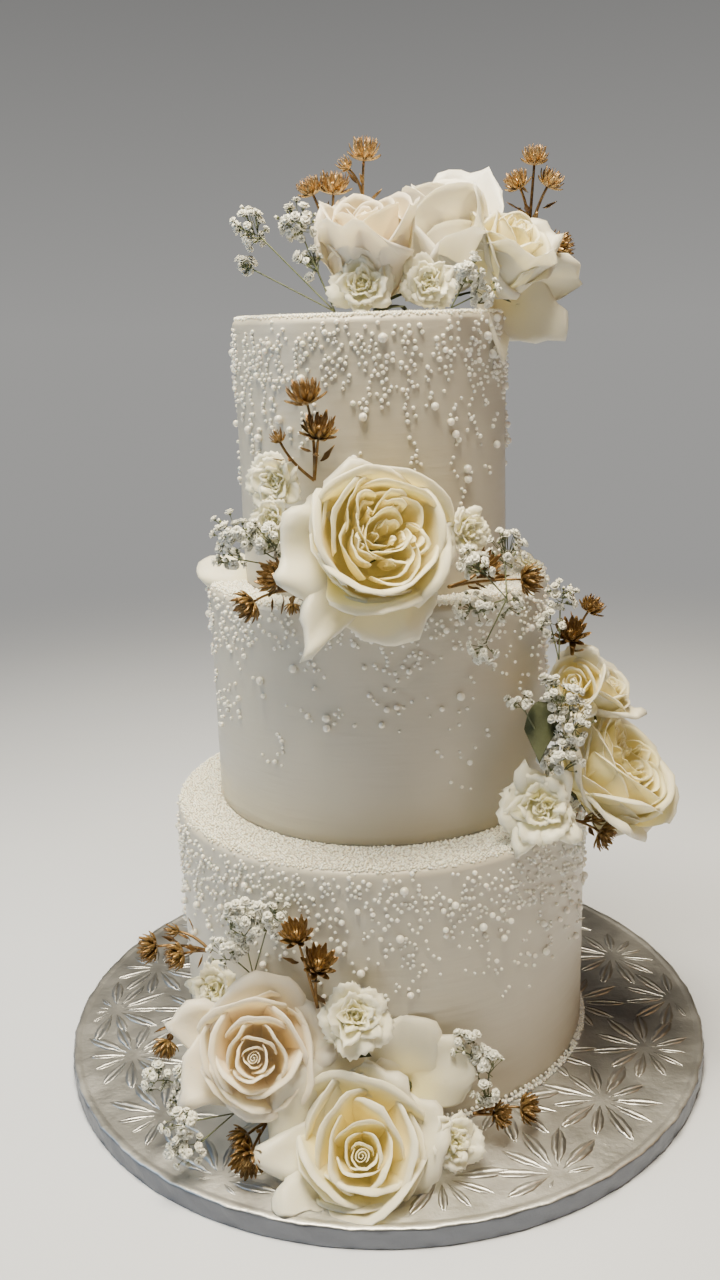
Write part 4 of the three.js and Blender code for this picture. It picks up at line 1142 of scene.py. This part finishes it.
def new_group(name, inputs, outputs):
    """A node group with its input and output nodes; a socket without a number is a colour."""
    group = bpy.data.node_groups.new(name, "ShaderNodeTree")
    for direction, sockets in (("INPUT", inputs), ("OUTPUT", outputs)):
        for label, default in sockets.items():
            kind = "NodeSocketColor" if default is None else "NodeSocketFloat"
            socket = group.interface.new_socket(label, in_out=direction, socket_type=kind)
            if default is not None:
                socket.default_value = default
    return group, add_node(group, "NodeGroupInput"), add_node(group, "NodeGroupOutput")


def mottling_group():
    """Soft cloudy unevenness: a value round 0.5 and a fine height, in the piece's own space."""
    name = "Soft mottling"
    if name in bpy.data.node_groups:
        return bpy.data.node_groups[name]
    group, start, end = new_group(name, {"Patch Scale": 30.0, "Grain Scale": 900.0},
                                  {"Patches": 0.0, "Grain": 0.0})
    place = add_node(group, "ShaderNodeTexCoord")
    patches = add_node(group, "ShaderNodeTexNoise", Detail=3.0, Roughness=0.55)
    grain = add_node(group, "ShaderNodeTexNoise", Detail=2.0, Roughness=0.6)
    link_nodes(
        group,
        ((place, "Object"), (patches, "Vector")),
        ((place, "Object"), (grain, "Vector")),
        ((start, "Patch Scale"), (patches, "Scale")),
        ((start, "Grain Scale"), (grain, "Scale")),
        ((patches, "Fac"), (end, "Patches")),
        ((grain, "Fac"), (end, "Grain")),
    )
    return group


def petal_group():
    """Petal colour from lip to heart, a little different from petal to petal, and its veins' height."""
    name = "Petal shading"
    if name in bpy.data.node_groups:
        return bpy.data.node_groups[name]
    group, start, end = new_group(name, {"Lip Colour": None, "Heart Colour": None, "Variation": 0.06},
                                  {"Colour": None, "Veins": 0.0})
    place = add_node(group, "ShaderNodeTexCoord")
    cloud = add_node(group, "ShaderNodeTexNoise", Scale=85.0, Detail=3.0)
    veins = add_node(group, "ShaderNodeTexNoise", Scale=420.0, Detail=4.0, Roughness=0.65, Distortion=0.6)
    deeper = add_math(group, "MULTIPLY_ADD", {1: 0.22, 2: -0.11})
    shade = add_math(group, "ADD", use_clamp=True)
    mix = add_node(group, "ShaderNodeMix", data_type="RGBA")
    centred = add_math(group, "SUBTRACT", {1: 0.5})
    amount = add_math(group, "MULTIPLY_ADD", {2: 1.0})
    bright = add_node(group, "ShaderNodeHueSaturation")
    link_nodes(
        group,
        ((place, "Object"), (cloud, "Vector")),
        ((place, "Object"), (veins, "Vector")),
        ((cloud, "Fac"), (deeper, 0)),
        ((add_mark(group, "heart"), "Fac"), (shade, 0)),
        ((deeper, 0), (shade, 1)),
        ((shade, 0), (mix, "Factor")),
        ((start, "Lip Colour"), (mix, "A")),
        ((start, "Heart Colour"), (mix, "B")),
        ((add_mark(group, "tint"), "Fac"), (centred, 0)),
        ((centred, 0), (amount, 0)),
        ((start, "Variation"), (amount, 1)),
        ((mix, "Result"), (bright, "Color")),
        ((amount, 0), (bright, "Value")),
        ((bright, "Color"), (end, "Colour")),
        ((veins, "Fac"), (end, "Veins")),
    )
    return group


def new_material(name):
    """An empty material with its shader and output, its node tree, and the shader itself."""
    material = bpy.data.materials.new(name)
    material.use_nodes = True
    tree = material.node_tree
    tree.nodes.clear()
    shader = add_node(tree, "ShaderNodeBsdfPrincipled")
    output = add_node(tree, "ShaderNodeOutputMaterial")
    link_nodes(tree, ((shader, "BSDF"), (output, "Surface")))
    return material, tree, shader


def add_mottling(tree, **scales):
    """Places the mottling with this material's own scales."""
    return add_node(tree, "ShaderNodeGroup", node_tree=mottling_group(), **scales)


def remap(tree, source, output, low, high):
    """Stretches a value near 0.5 to run from low to high."""
    node = add_node(tree, "ShaderNodeMapRange", From_Min=0.3, From_Max=0.7, To_Min=low, To_Max=high)
    link_nodes(tree, ((source, output), (node, "Value")))
    return node


def set_bump(tree, shader, source, output, strength, distance):
    """Feeds a height into the shader's normal."""
    bump = add_node(tree, "ShaderNodeBump", Strength=strength, Distance=distance)
    link_nodes(tree, ((source, output), (bump, "Height")), ((bump, "Normal"), (shader, "Normal")))


def set_roughness(tree, shader, source, output, low, high):
    """Lets the shader's roughness follow a value near 0.5."""
    rough = remap(tree, source, output, low, high)
    link_nodes(tree, ((rough, "Result"), (shader, "Roughness")))


def set_colour(tree, shader, colour, source, output):
    """Gives the shader one colour whose brightness follows a value."""
    bright = add_node(tree, "ShaderNodeHueSaturation", Color=(*colour, 1))
    link_nodes(tree, ((source, output), (bright, "Value")), ((bright, "Color"), (shader, "Base Color")))


def petal_material(name, lip, heart):
    """Petals: soft, faintly see-through, cream at the lip and deeper towards the heart, with a faint
    painted glow that lifts their shade.
    """
    if name in bpy.data.materials:
        return bpy.data.materials[name]
    material, tree, shader = new_material(name)
    group = add_node(tree, "ShaderNodeGroup", node_tree=petal_group(), Lip_Colour=(*lip, 1),
                     Heart_Colour=(*heart, 1), Variation=0.09)
    link_nodes(
        tree,
        ((group, "Colour"), (shader, "Base Color")),
        ((group, "Colour"), (shader, "Emission Color")),
    )
    # The emission is painted light: a faint glow in the petals' own colour that lightens the shade between
    # them
    fill(shader, Subsurface_Weight=0.4, Subsurface_Radius=(1.0, 0.85, 0.5), Subsurface_Scale=0.0035,
         Sheen_Weight=0.15, Emission_Strength=0.035)
    set_roughness(tree, shader, group, "Veins", 0.42, 0.58)
    set_bump(tree, shader, group, "Veins", 0.25, 0.0004)
    return material


def icing_material(name, colour):
    """Satin icing with faint smoothing marks."""
    material, tree, shader = new_material(name)
    group = add_mottling(tree, Patch_Scale=16.0, Grain_Scale=1400.0)
    place = add_node(tree, "ShaderNodeTexCoord")
    stretch = add_node(tree, "ShaderNodeMapping", Scale=(1.0, 1.0, 9.0))
    marks = add_node(tree, "ShaderNodeTexNoise", Scale=26.0, Detail=3.0)
    both = add_math(tree, "MULTIPLY_ADD", {1: 0.06})
    link_nodes(
        tree,
        ((place, "Object"), (stretch, "Vector")),
        ((stretch, "Vector"), (marks, "Vector")),
        ((group, "Grain"), (both, 0)),
        ((marks, "Fac"), (both, 2)),
    )
    fill(shader, Subsurface_Weight=0.2, Subsurface_Radius=(1.0, 0.8, 0.6), Subsurface_Scale=0.003,
         Coat_Weight=0.12, Coat_Roughness=0.3)
    set_colour(tree, shader, colour, remap(tree, group, "Patches", 0.965, 1.03), "Result")
    set_roughness(tree, shader, marks, "Fac", 0.34, 0.46)
    set_bump(tree, shader, both, 0, 0.35, 0.0008)
    return material


def pearl_material(name, colour, roughness, coat):
    """Sugar pearls: lustrous, each a little lighter or darker than the next, with a faint painted glow that
    lifts their shaded sides.
    """
    material, tree, shader = new_material(name)
    value = add_node(tree, "ShaderNodeMapRange", To_Min=0.88, To_Max=1.08)
    link_nodes(tree, ((add_mark(tree, "tint"), "Fac"), (value, "Value")))
    group = add_mottling(tree, Grain_Scale=2200.0)
    # The emission is painted light: a faint glow in the pearl's own colour, so that pearls and beads in
    # shade don't turn dark
    fill(shader, Subsurface_Weight=0.6, Subsurface_Radius=(1.0, 0.85, 0.65), Subsurface_Scale=0.002,
         Coat_Weight=coat, Coat_Roughness=0.12, Emission_Color=(*colour, 1), Emission_Strength=0.1)
    set_colour(tree, shader, colour, value, "Result")
    set_roughness(tree, shader, group, "Grain", roughness - 0.05, roughness + 0.07)
    set_bump(tree, shader, group, "Grain", 0.1, 0.0003)
    return material


def foil_material(name, colour, painted_side_shade):
    """Silver foil: bright but softly creased, with a painted dark, bluish shade and reflection where it is
    folded down over the side.
    """
    material, tree, shader = new_material(name)
    group = add_mottling(tree, Patch_Scale=34.0, Grain_Scale=420.0)
    patch = remap(tree, group, "Patches", 0.88, 1.06)
    bright = add_node(tree, "ShaderNodeHueSaturation")
    mix = add_mix(tree, colour, painted_side_shade)
    both = add_math(tree, "MULTIPLY_ADD", {1: 0.16})
    link_nodes(
        tree,
        ((add_mark(tree, "heart"), "Fac"), (mix, "Factor")),
        ((mix, "Result"), (bright, "Color")),
        ((patch, "Result"), (bright, "Value")),
        ((bright, "Color"), (shader, "Base Color")),
        ((group, "Grain"), (both, 0)),
        ((group, "Patches"), (both, 2)),
    )
    fill(shader, Metallic=1.0)
    set_roughness(tree, shader, group, "Patches", 0.38, 0.5)
    set_bump(tree, shader, both, 0, 0.4, 0.003)
    return material


def gilt_material(name, light, dark):
    """Antique gilding: warm gold that turns brown in patches, on the stalks and leaves, and towards the
    tips of the heads, where the brown is painted shade.
    """
    material, tree, shader = new_material(name)
    group = add_mottling(tree, Patch_Scale=260.0, Grain_Scale=1500.0)
    patch = remap(tree, group, "Patches", -0.25, 0.3)
    some = add_math(tree, "MULTIPLY_ADD", {1: 0.3})
    total = add_math(tree, "ADD", use_clamp=True)
    mix = add_mix(tree, light, dark)
    link_nodes(
        tree,
        ((add_mark(tree, "tint"), "Fac"), (some, 0)),
        ((add_mark(tree, "heart"), "Fac"), (some, 2)),
        ((some, 0), (total, 0)),
        ((patch, "Result"), (total, 1)),
        ((total, 0), (mix, "Factor")),
        ((mix, "Result"), (shader, "Base Color")),
    )
    fill(shader, Metallic=0.72)
    set_roughness(tree, shader, group, "Grain", 0.28, 0.5)
    set_bump(tree, shader, group, "Grain", 0.3, 0.0004)
    return material


def plant_material(name, colour, roughness, change=0.2):
    """Stems, leaves and florets: one colour that changes a little over the piece and between its parts."""
    if name in bpy.data.materials:
        return bpy.data.materials[name]
    material, tree, shader = new_material(name)
    group = add_mottling(tree, Patch_Scale=150.0)
    patch = remap(tree, group, "Patches", 1 - change, 1 + change)
    value = add_node(tree, "ShaderNodeMapRange", To_Min=1 - 0.6 * change, To_Max=1 + 0.6 * change)
    both = add_math(tree, "MULTIPLY")
    link_nodes(
        tree,
        ((add_mark(tree, "tint"), "Fac"), (value, "Value")),
        ((value, "Result"), (both, 0)),
        ((patch, "Result"), (both, 1)),
    )
    set_colour(tree, shader, colour, both, 0)
    set_roughness(tree, shader, group, "Grain", roughness - 0.08, roughness + 0.08)
    set_bump(tree, shader, group, "Grain", 0.2, 0.0004)
    return material


def floor_material(name, colour, wall):
    """A plain pale table top that fades into the wall far off."""
    material, tree, shader = new_material(name)
    place = add_node(tree, "ShaderNodeTexCoord")
    away = add_node(tree, "ShaderNodeVectorMath", operation="LENGTH")
    far = add_node(tree, "ShaderNodeMapRange", interpolation_type="SMOOTHSTEP", From_Min=0.3, From_Max=1.6)
    glow = add_node(tree, "ShaderNodeEmission", Color=(*wall, 1))
    both = add_node(tree, "ShaderNodeMixShader")
    link_nodes(
        tree,
        ((place, "Object"), (away, 0)),
        ((away, "Value"), (far, "Value")),
        ((far, "Result"), (both, "Fac")),
        ((shader, "BSDF"), (both, 1)),
        ((glow, "Emission"), (both, 2)),
        ((both, "Shader"), (tree.nodes["Material Output"], "Surface")),
    )
    patch = remap(tree, add_mottling(tree, Patch_Scale=3.0), "Patches", 0.97, 1.02)
    set_colour(tree, shader, colour, patch, "Result")
    fill(shader, Roughness=0.45)
    return material


# ---- Settings -----------------------------------------------------------------------------------------
def colour_property(name, description, default):
    """A colour that a user may change."""
    return bpy.props.FloatVectorProperty(
        name=name, description=description, default=default, subtype="COLOR", size=3, min=0.0, max=1.0
    )


def length_property(name, description, default):
    """A length in metres that a user may change."""
    return bpy.props.FloatProperty(
        name=name, description=description, default=default, unit="LENGTH", subtype="DISTANCE", min=0.0,
        precision=5
    )


def power_property(name, description, default):
    """A light's power in watts that a user may change."""
    return bpy.props.FloatProperty(name=name, description=description, default=default, unit="POWER")


class CakeSizes(bpy.types.PropertyGroup):
    """Sizes of the cake's decoration."""

    petal_thickness: length_property("Petal thickness", "Thickness of a rose petal", 0.00045)
    ruffled_thickness: length_property(
        "Ruffled petal thickness", "Thickness of a small flower's petal", 0.0004
    )
    floret: length_property("Floret", "Width of one floret of baby's breath", 0.0056)
    bead_pitch: length_property("Bead pitch", "Distance between the fine beads on the tiers' tops", 0.0019)
    foil_relief: length_property("Foil relief", "Height of the pattern pressed into the foil", 0.00027)
    seed: bpy.props.IntProperty(name="Seed", description="Seed of every drawn number", default=7, min=0)


class CakeColours(bpy.types.PropertyGroup):
    """Colours of the cake's finishes."""

    # The icing is a darker ivory than the real cake: its own cream tone, with painted shade for its shaded
    # walls
    icing: colour_property("Icing", "Satin icing", (0.54, 0.505, 0.43))
    pearl: colour_property("Pearls", "Sugar pearls on the walls", (0.8, 0.775, 0.7))
    bead: colour_property("Beads", "Fine beads on the ledges", (0.99, 0.94, 0.77))
    foil: colour_property("Foil", "Silver foil of the board", (0.69, 0.69, 0.7))
    # Painted shade and reflection: the foil over the board's side is given a dark, bluish colour
    foil_side: colour_property("Foil side", "Silver foil folded over the board's side", (0.09, 0.1, 0.125))
    rose_lip: colour_property("Rose lip", "Rose petals at the lip", (0.76, 0.715, 0.55))
    # Partly the white rose's own colour and partly painted light: its lip is brighter than the other roses'
    # for the strong light on it
    white_lip_painted_light: colour_property("White lip", "The brightest rose's petals at the lip", (0.97, 0.93, 0.8))
    rose_heart: colour_property("Rose heart", "Rose petals towards the heart", (0.95, 0.81, 0.34))
    blush_lip: colour_property("Blush lip", "Blush rose petals at the lip", (0.83, 0.74, 0.58))
    blush_heart: colour_property("Blush heart", "Blush rose petals towards the heart", (0.9, 0.73, 0.46))
    ruffled_lip: colour_property("Ruffled lip", "Small flowers' petals at the lip", (0.85, 0.81, 0.61))
    ruffled_heart: colour_property("Ruffled heart", "Small flowers towards the heart", (0.84, 0.78, 0.33))
    gold: colour_property("Gold", "Gilding where it is bright", (0.7, 0.5, 0.25))
    # Painted shade: the lower sprigs' gilding is a darker copy of the same gold, for the shade they stand
    # in
    shaded_gold: colour_property("Shaded gold", "Gilding of the lower sprigs", (0.36, 0.235, 0.09))
    # Bronze is the gilding's dark end: painted shade towards the seed heads' tips, and the darker tone of
    # the stalks and leaves
    bronze: colour_property("Bronze", "Gilding in its hollows", (0.15, 0.08, 0.03))
    floret: colour_property("Florets", "Baby's breath", (0.74, 0.74, 0.68))
    stem: colour_property("Stems", "Thin stems and buds", (0.12, 0.14, 0.07))
    leaf: colour_property("Leaves", "Leaves and sepals", (0.05, 0.06, 0.024))
    floor: colour_property("Floor", "Pale floor", (0.64, 0.68, 0.8))


class CakeStage(bpy.types.PropertyGroup):
    """Light of the stage."""

    overhead: power_property("Overhead light", "Power of the soft light above", 71.0)
    cool: power_property("Cool light", "Power of the cool light from the left", 8.5)
    warm: power_property("Warm light", "Power of the warm light from the right", 3.2)
    surround: bpy.props.FloatProperty(
        name="Surround", description="Strength of the plain light from all round", default=0.065, min=0.0
    )
    cool_side: colour_property("Cool side", "Light of the room on the left", (0.72, 0.86, 1.0))
    warm_side: colour_property("Warm side", "Light of the room on the right", (0.55, 0.33, 0.12))
    wall_low: colour_property("Wall below", "The wall near the floor", (0.37, 0.365, 0.355))
    wall_high: colour_property("Wall above", "The wall higher up", (0.06, 0.06, 0.06))


def chance_for(settings, label):
    """Drawn numbers for one piece, the same at every run."""
    return np.random.default_rng([settings.seed, *label.encode()])


# ---- Operators ----------------------------------------------------------------------------------------
class CAKE_OT_board(bpy.types.Operator):
    """Add the foil-covered drum board"""

    bl_idname = "cake.board"
    bl_label = "Board"

    def execute(self, context):
        sizes, colours = context.scene.cake_sizes, context.scene.cake_colours
        shape = board_shape(sizes.foil_relief / MM, chance_for(sizes, "board"))
        foil = foil_material("silver foil", colours.foil, colours.foil_side)
        place_piece(shape, "foil_board", [foil], "foil", ["board"])
        return {"FINISHED"}


class CAKE_OT_tiers(bpy.types.Operator):
    """Add the three tiers of icing"""

    bl_idname = "cake.tiers"
    bl_label = "Icing"

    def execute(self, context):
        sizes, colours = context.scene.cake_sizes, context.scene.cake_colours
        icing = icing_material("satin icing", colours.icing)
        for name, tier in TIERS.items():
            shape = tier_shape(tier, chance_for(sizes, name))
            place_piece(shape, "icing_" + name, [icing], "icing", [name])
        return {"FINISHED"}


class CAKE_OT_pearls(bpy.types.Operator):
    """Add the sugar pearls, the fine beads on the ledges and the border at the foot"""

    bl_idname = "cake.pearls"
    bl_label = "Pearls and beads"

    def execute(self, context):
        sizes, colours = context.scene.cake_sizes, context.scene.cake_colours
        pearl = pearl_material("sugar pearls", colours.pearl, 0.26, 0.35)
        bead = pearl_material("fine beads", colours.bead, 0.4, 0.1)
        names = list(TIERS)
        for number, name in enumerate(names):
            tier = TIERS[name]
            above = TIERS[names[number + 1]] if number + 1 < len(names) else None
            chance = chance_for(sizes, "pearls " + name)

            pearls = wall_pearls(name, tier, number + 1, chance)
            shape = Shape()
            fine = pearls[:, 3] > FINE_BALL_FROM
            add_balls(shape, pearls[fine, :3], pearls[fine, 3], FINE_BALL, chance, squash=0.03)
            add_balls(shape, pearls[~fine, :3], pearls[~fine, 3], BALL, chance, squash=0.03)
            place_piece(shape, "pearls_" + name, [pearl], "icing", [name])

            centres, radii = ledge_beads(tier, above, sizes.bead_pitch / MM, chance)
            shape = Shape()
            add_balls(shape, centres, radii, COARSE_BALL, chance, squash=0.2)
            place_piece(shape, "beads_" + name, [bead], "icing", [name])

        shape = Shape()
        chance = chance_for(sizes, "border")
        centres, radii = border_beads(TIERS["tier_bottom"], chance)
        add_balls(shape, centres, radii, BALL, chance, squash=0.05)
        place_piece(shape, "beads_border", [pearl], "icing", ["tier_bottom"])
        return {"FINISHED"}


class CAKE_OT_roses(bpy.types.Operator):
    """Add the fresh roses"""

    bl_idname = "cake.roses"
    bl_label = "Roses"

    def execute(self, context):
        sizes, colours = context.scene.cake_sizes, context.scene.cake_colours
        cream = petal_material("rose petals", colours.rose_lip, colours.rose_heart)
        blush = petal_material("blush rose petals", colours.blush_lip, colours.blush_heart)
        green = plant_material("leaves and sepals", colours.leaf, 0.7)
        # The white rose's brighter lip colour is partly painted light
        white = petal_material("white rose petals", colours.white_lip_painted_light, colours.blush_lip)
        for name, rose in ROSES.items():
            own = rose_shape(rose, sizes.petal_thickness / MM, chance_for(sizes, name))
            own.place(rose["at"], rose["facing"])
            finish = blush if name.endswith("blush") else white if name.endswith("white") else cream
            slot = "blush_petals" if name.endswith("blush") else "rose_petals"
            place_piece(own, "bloom_" + name, [finish, green], slot, [name])
        return {"FINISHED"}


class CAKE_OT_ruffled_flowers(bpy.types.Operator):
    """Add the small ruffled flowers"""

    bl_idname = "cake.ruffled_flowers"
    bl_label = "Ruffled flowers"

    def execute(self, context):
        sizes, colours = context.scene.cake_sizes, context.scene.cake_colours
        finish = petal_material("ruffled petals", colours.ruffled_lip, colours.ruffled_heart)
        for name, flower in RUFFLED_FLOWERS.items():
            own = ruffled_shape(flower, sizes.ruffled_thickness / MM, chance_for(sizes, name))
            own.place(flower["at"], flower["facing"])
            place_piece(own, "bloom_" + name, [finish], "ruffled_petals", [name])
        return {"FINISHED"}


class CAKE_OT_loose_petal(bpy.types.Operator):
    """Add the loose petal that lies on the middle tier's ledge"""

    bl_idname = "cake.loose_petal"
    bl_label = "Loose petal"

    def execute(self, context):
        sizes, colours = context.scene.cake_sizes, context.scene.cake_colours
        own = Shape()
        at, facing, petal = LOOSE_PETAL
        chance = chance_for(sizes, "petal_ledge")
        grid, v = guard_grid(petal, chance, 15, 15, "round", 0.7, 10)
        add_sheet(own, set_out(grid, at, facing), sizes.petal_thickness / MM,
                  0.5 * (1 - smooth_step(0, 0.5, v)), 0.6)
        cream = petal_material("rose petals", colours.rose_lip, colours.rose_heart)
        place_piece(own, "loose_petal", [cream], "rose_petals", ["petal_ledge"])
        return {"FINISHED"}


class CAKE_OT_gilded_sprigs(bpy.types.Operator):
    """Add the gilded seed heads on their stalks"""

    bl_idname = "cake.gilded_sprigs"
    bl_label = "Gilded sprigs"

    def execute(self, context):
        sizes, colours = context.scene.cake_sizes, context.scene.cake_colours
        bright = gilt_material("antique gilding", colours.gold, colours.bronze)
        shaded_gilt = gilt_material("worn gilding", colours.shaded_gold, colours.bronze)
        for name, sprig in SPRIGS.items():
            own = sprig_shape(sprig, chance_for(sizes, name))
            # The lower sprigs take the darker gilding as painted shade
            finish = bright if "_top_" in name else shaded_gilt
            place_piece(own, "sprig_" + name, [finish], "gilding", [name])
        return {"FINISHED"}


class CAKE_OT_babys_breath(bpy.types.Operator):
    """Add the bunches of baby's breath"""

    bl_idname = "cake.babys_breath"
    bl_label = "Baby's breath"

    def execute(self, context):
        sizes, colours = context.scene.cake_sizes, context.scene.cake_colours
        white = plant_material("small white florets", colours.floret, 0.6, 0.06)
        stem = plant_material("thin stems", colours.stem, 0.6)
        for name, sprig in BREATH.items():
            own = breath_shape(sprig, sizes.floret / MM, chance_for(sizes, name))
            place_piece(own, "bunch_" + name, [white, stem], "small_florets", [name])
        return {"FINISHED"}


class CAKE_OT_leaves(bpy.types.Operator):
    """Add the dark leaves tucked between the flowers"""

    bl_idname = "cake.leaves"
    bl_label = "Leaves"

    def execute(self, context):
        sizes, colours = context.scene.cake_sizes, context.scene.cake_colours
        green = plant_material("leaves and sepals", colours.leaf, 0.7)
        for name, (at, facing, leaf) in LEAVES.items():
            own = Shape()
            chance = chance_for(sizes, name)
            grid = guard_grid(leaf, chance, 15, 9, "pointed", 0.5, 0)[0]
            add_sheet(own, set_out(grid, at, facing), 0.6, 0.0, chance.uniform())
            place_piece(own, "green_" + name, [green], "leaves", [name])
        return {"FINISHED"}


def camera_axes():
    """The camera's axes from its yaw, pitch and roll, as rows: right, down and forward."""
    yaw, pitch, roll = CAMERA["yaw"], CAMERA["pitch"], CAMERA["roll"]
    forward = np.array((math.sin(yaw) * math.cos(pitch), math.cos(yaw) * math.cos(pitch), -math.sin(pitch)))
    right = np.array((math.cos(yaw), -math.sin(yaw), 0.0))
    down = np.cross(forward, right)
    return (math.cos(roll) * right + math.sin(roll) * down,
            -math.sin(roll) * right + math.cos(roll) * down, forward)


def add_area_light(name, place, aim, size, power, colour):
    """A soft square light that the camera doesn't see."""
    data = bpy.data.lights.new(name, "AREA")
    data.size = size
    data.energy = power
    data.color = colour
    light = bpy.data.objects.new(name, data)
    bpy.context.scene.collection.objects.link(light)
    back = (Vector(place) - Vector(aim)).normalized()
    light.rotation_mode = "QUATERNION"
    light.rotation_quaternion = back.to_track_quat("Z", "Y")
    light.location = place
    light.visible_camera = False


def add_room(scene, stage):
    """The plain room: cool light from the left and warm from the right, behind a soft grey wall."""
    world = bpy.data.worlds.new("plain room")
    world.use_nodes = True
    tree = world.node_tree
    tree.nodes.clear()
    way = add_node(tree, "ShaderNodeTexCoord")
    parts = add_node(tree, "ShaderNodeSeparateXYZ")
    across = add_node(tree, "ShaderNodeMapRange", From_Min=-0.8, From_Max=0.8)
    light_colour = add_mix(tree, stage.cool_side, stage.warm_side)
    light = add_node(tree, "ShaderNodeBackground", Strength=stage.surround)
    up = add_node(tree, "ShaderNodeMapRange", From_Min=0.0, From_Max=0.5)
    wall_colour = add_mix(tree, stage.wall_low, stage.wall_high)
    wall = add_node(tree, "ShaderNodeBackground")
    path = add_node(tree, "ShaderNodeLightPath")
    both = add_node(tree, "ShaderNodeMixShader")
    output = add_node(tree, "ShaderNodeOutputWorld")
    link_nodes(
        tree,
        ((way, "Generated"), (parts, "Vector")),
        ((parts, "X"), (across, "Value")),
        ((across, "Result"), (light_colour, "Factor")),
        ((light_colour, "Result"), (light, "Color")),
        ((parts, "Z"), (up, "Value")),
        ((up, "Result"), (wall_colour, "Factor")),
        ((wall_colour, "Result"), (wall, "Color")),
        ((path, "Is Camera Ray"), (both, "Fac")),
        ((light, "Background"), (both, 1)),
        ((wall, "Background"), (both, 2)),
        ((both, "Shader"), (output, "Surface")),
    )
    scene.world = world


class CAKE_OT_stage(bpy.types.Operator):
    """Add the pale floor, the soft lights and the camera"""

    bl_idname = "cake.stage"
    bl_label = "Stage"

    def execute(self, context):
        scene = context.scene
        stage, colours = scene.cake_stage, scene.cake_colours
        floor_mesh = bpy.data.meshes.new("floor")
        corners, radius = FLOOR["corners"], FLOOR["radius"]
        angles = [i * 2 * math.pi / corners for i in range(corners)]
        floor_mesh.from_pydata([(radius * math.cos(a), radius * math.sin(a), FLOOR["z"]) for a in angles],
                               [], [list(range(corners))])
        floor_mesh.materials.append(floor_material("pale floor", colours.floor, stage.wall_low))
        floor = bpy.data.objects.new("floor", floor_mesh)
        scene.collection.objects.link(floor)

        add_room(scene, stage)
        for name, (place, aim, size, power, colour) in LIGHTS.items():
            add_area_light(name, place, aim, size, getattr(stage, power), colour)

        camera = bpy.data.objects.new("camera", bpy.data.cameras.new("camera"))
        scene.collection.objects.link(camera)
        right, down, forward = camera_axes()
        turn = Matrix((right, -down, -forward)).transposed()
        camera.matrix_world = Matrix.Translation(CAMERA["place"]) @ turn.to_4x4()
        camera.data.lens = CAMERA["lens"]
        camera.data.sensor_width = CAMERA["sensor"]
        camera.data.clip_start = 0.01
        scene.camera = camera
        return {"FINISHED"}


PIECES = (CAKE_OT_board, CAKE_OT_tiers, CAKE_OT_pearls, CAKE_OT_roses, CAKE_OT_ruffled_flowers,
          CAKE_OT_loose_petal, CAKE_OT_gilded_sprigs, CAKE_OT_babys_breath, CAKE_OT_leaves, CAKE_OT_stage)


class CAKE_PT_panel(bpy.types.Panel):
    """Buttons and settings for the cake"""

    bl_label = "Tiered Wedding Cake"
    bl_idname = "CAKE_PT_panel"
    bl_space_type = "VIEW_3D"
    bl_region_type = "UI"
    bl_category = "Cake"

    def draw(self, context):
        for settings in (context.scene.cake_sizes, context.scene.cake_colours, context.scene.cake_stage):
            box = self.layout.box()
            for key in settings.bl_rna.properties.keys():
                if key not in ("rna_type", "name"):
                    box.prop(settings, key)
        for piece in PIECES:
            self.layout.operator(piece.bl_idname)


CLASSES = (CakeSizes, CakeColours, CakeStage, *PIECES, CAKE_PT_panel)


def register():
    """Registers the classes and hangs the settings on the scene."""
    for item in CLASSES:
        bpy.utils.register_class(item)
    bpy.types.Scene.cake_sizes = bpy.props.PointerProperty(type=CakeSizes)
    bpy.types.Scene.cake_colours = bpy.props.PointerProperty(type=CakeColours)
    bpy.types.Scene.cake_stage = bpy.props.PointerProperty(type=CakeStage)


def unregister():
    """Removes the settings and the classes."""
    del bpy.types.Scene.cake_stage
    del bpy.types.Scene.cake_colours
    del bpy.types.Scene.cake_sizes
    for item in reversed(CLASSES):
        bpy.utils.unregister_class(item)


def main():
    """Makes every piece and the stage."""
    register()
    bpy.ops.cake.board()
    bpy.ops.cake.tiers()
    bpy.ops.cake.pearls()
    bpy.ops.cake.roses()
    bpy.ops.cake.ruffled_flowers()
    bpy.ops.cake.loose_petal()
    bpy.ops.cake.gilded_sprigs()
    bpy.ops.cake.babys_breath()
    bpy.ops.cake.leaves()
    bpy.ops.cake.stage()


if __name__ == "__main__":
    main()
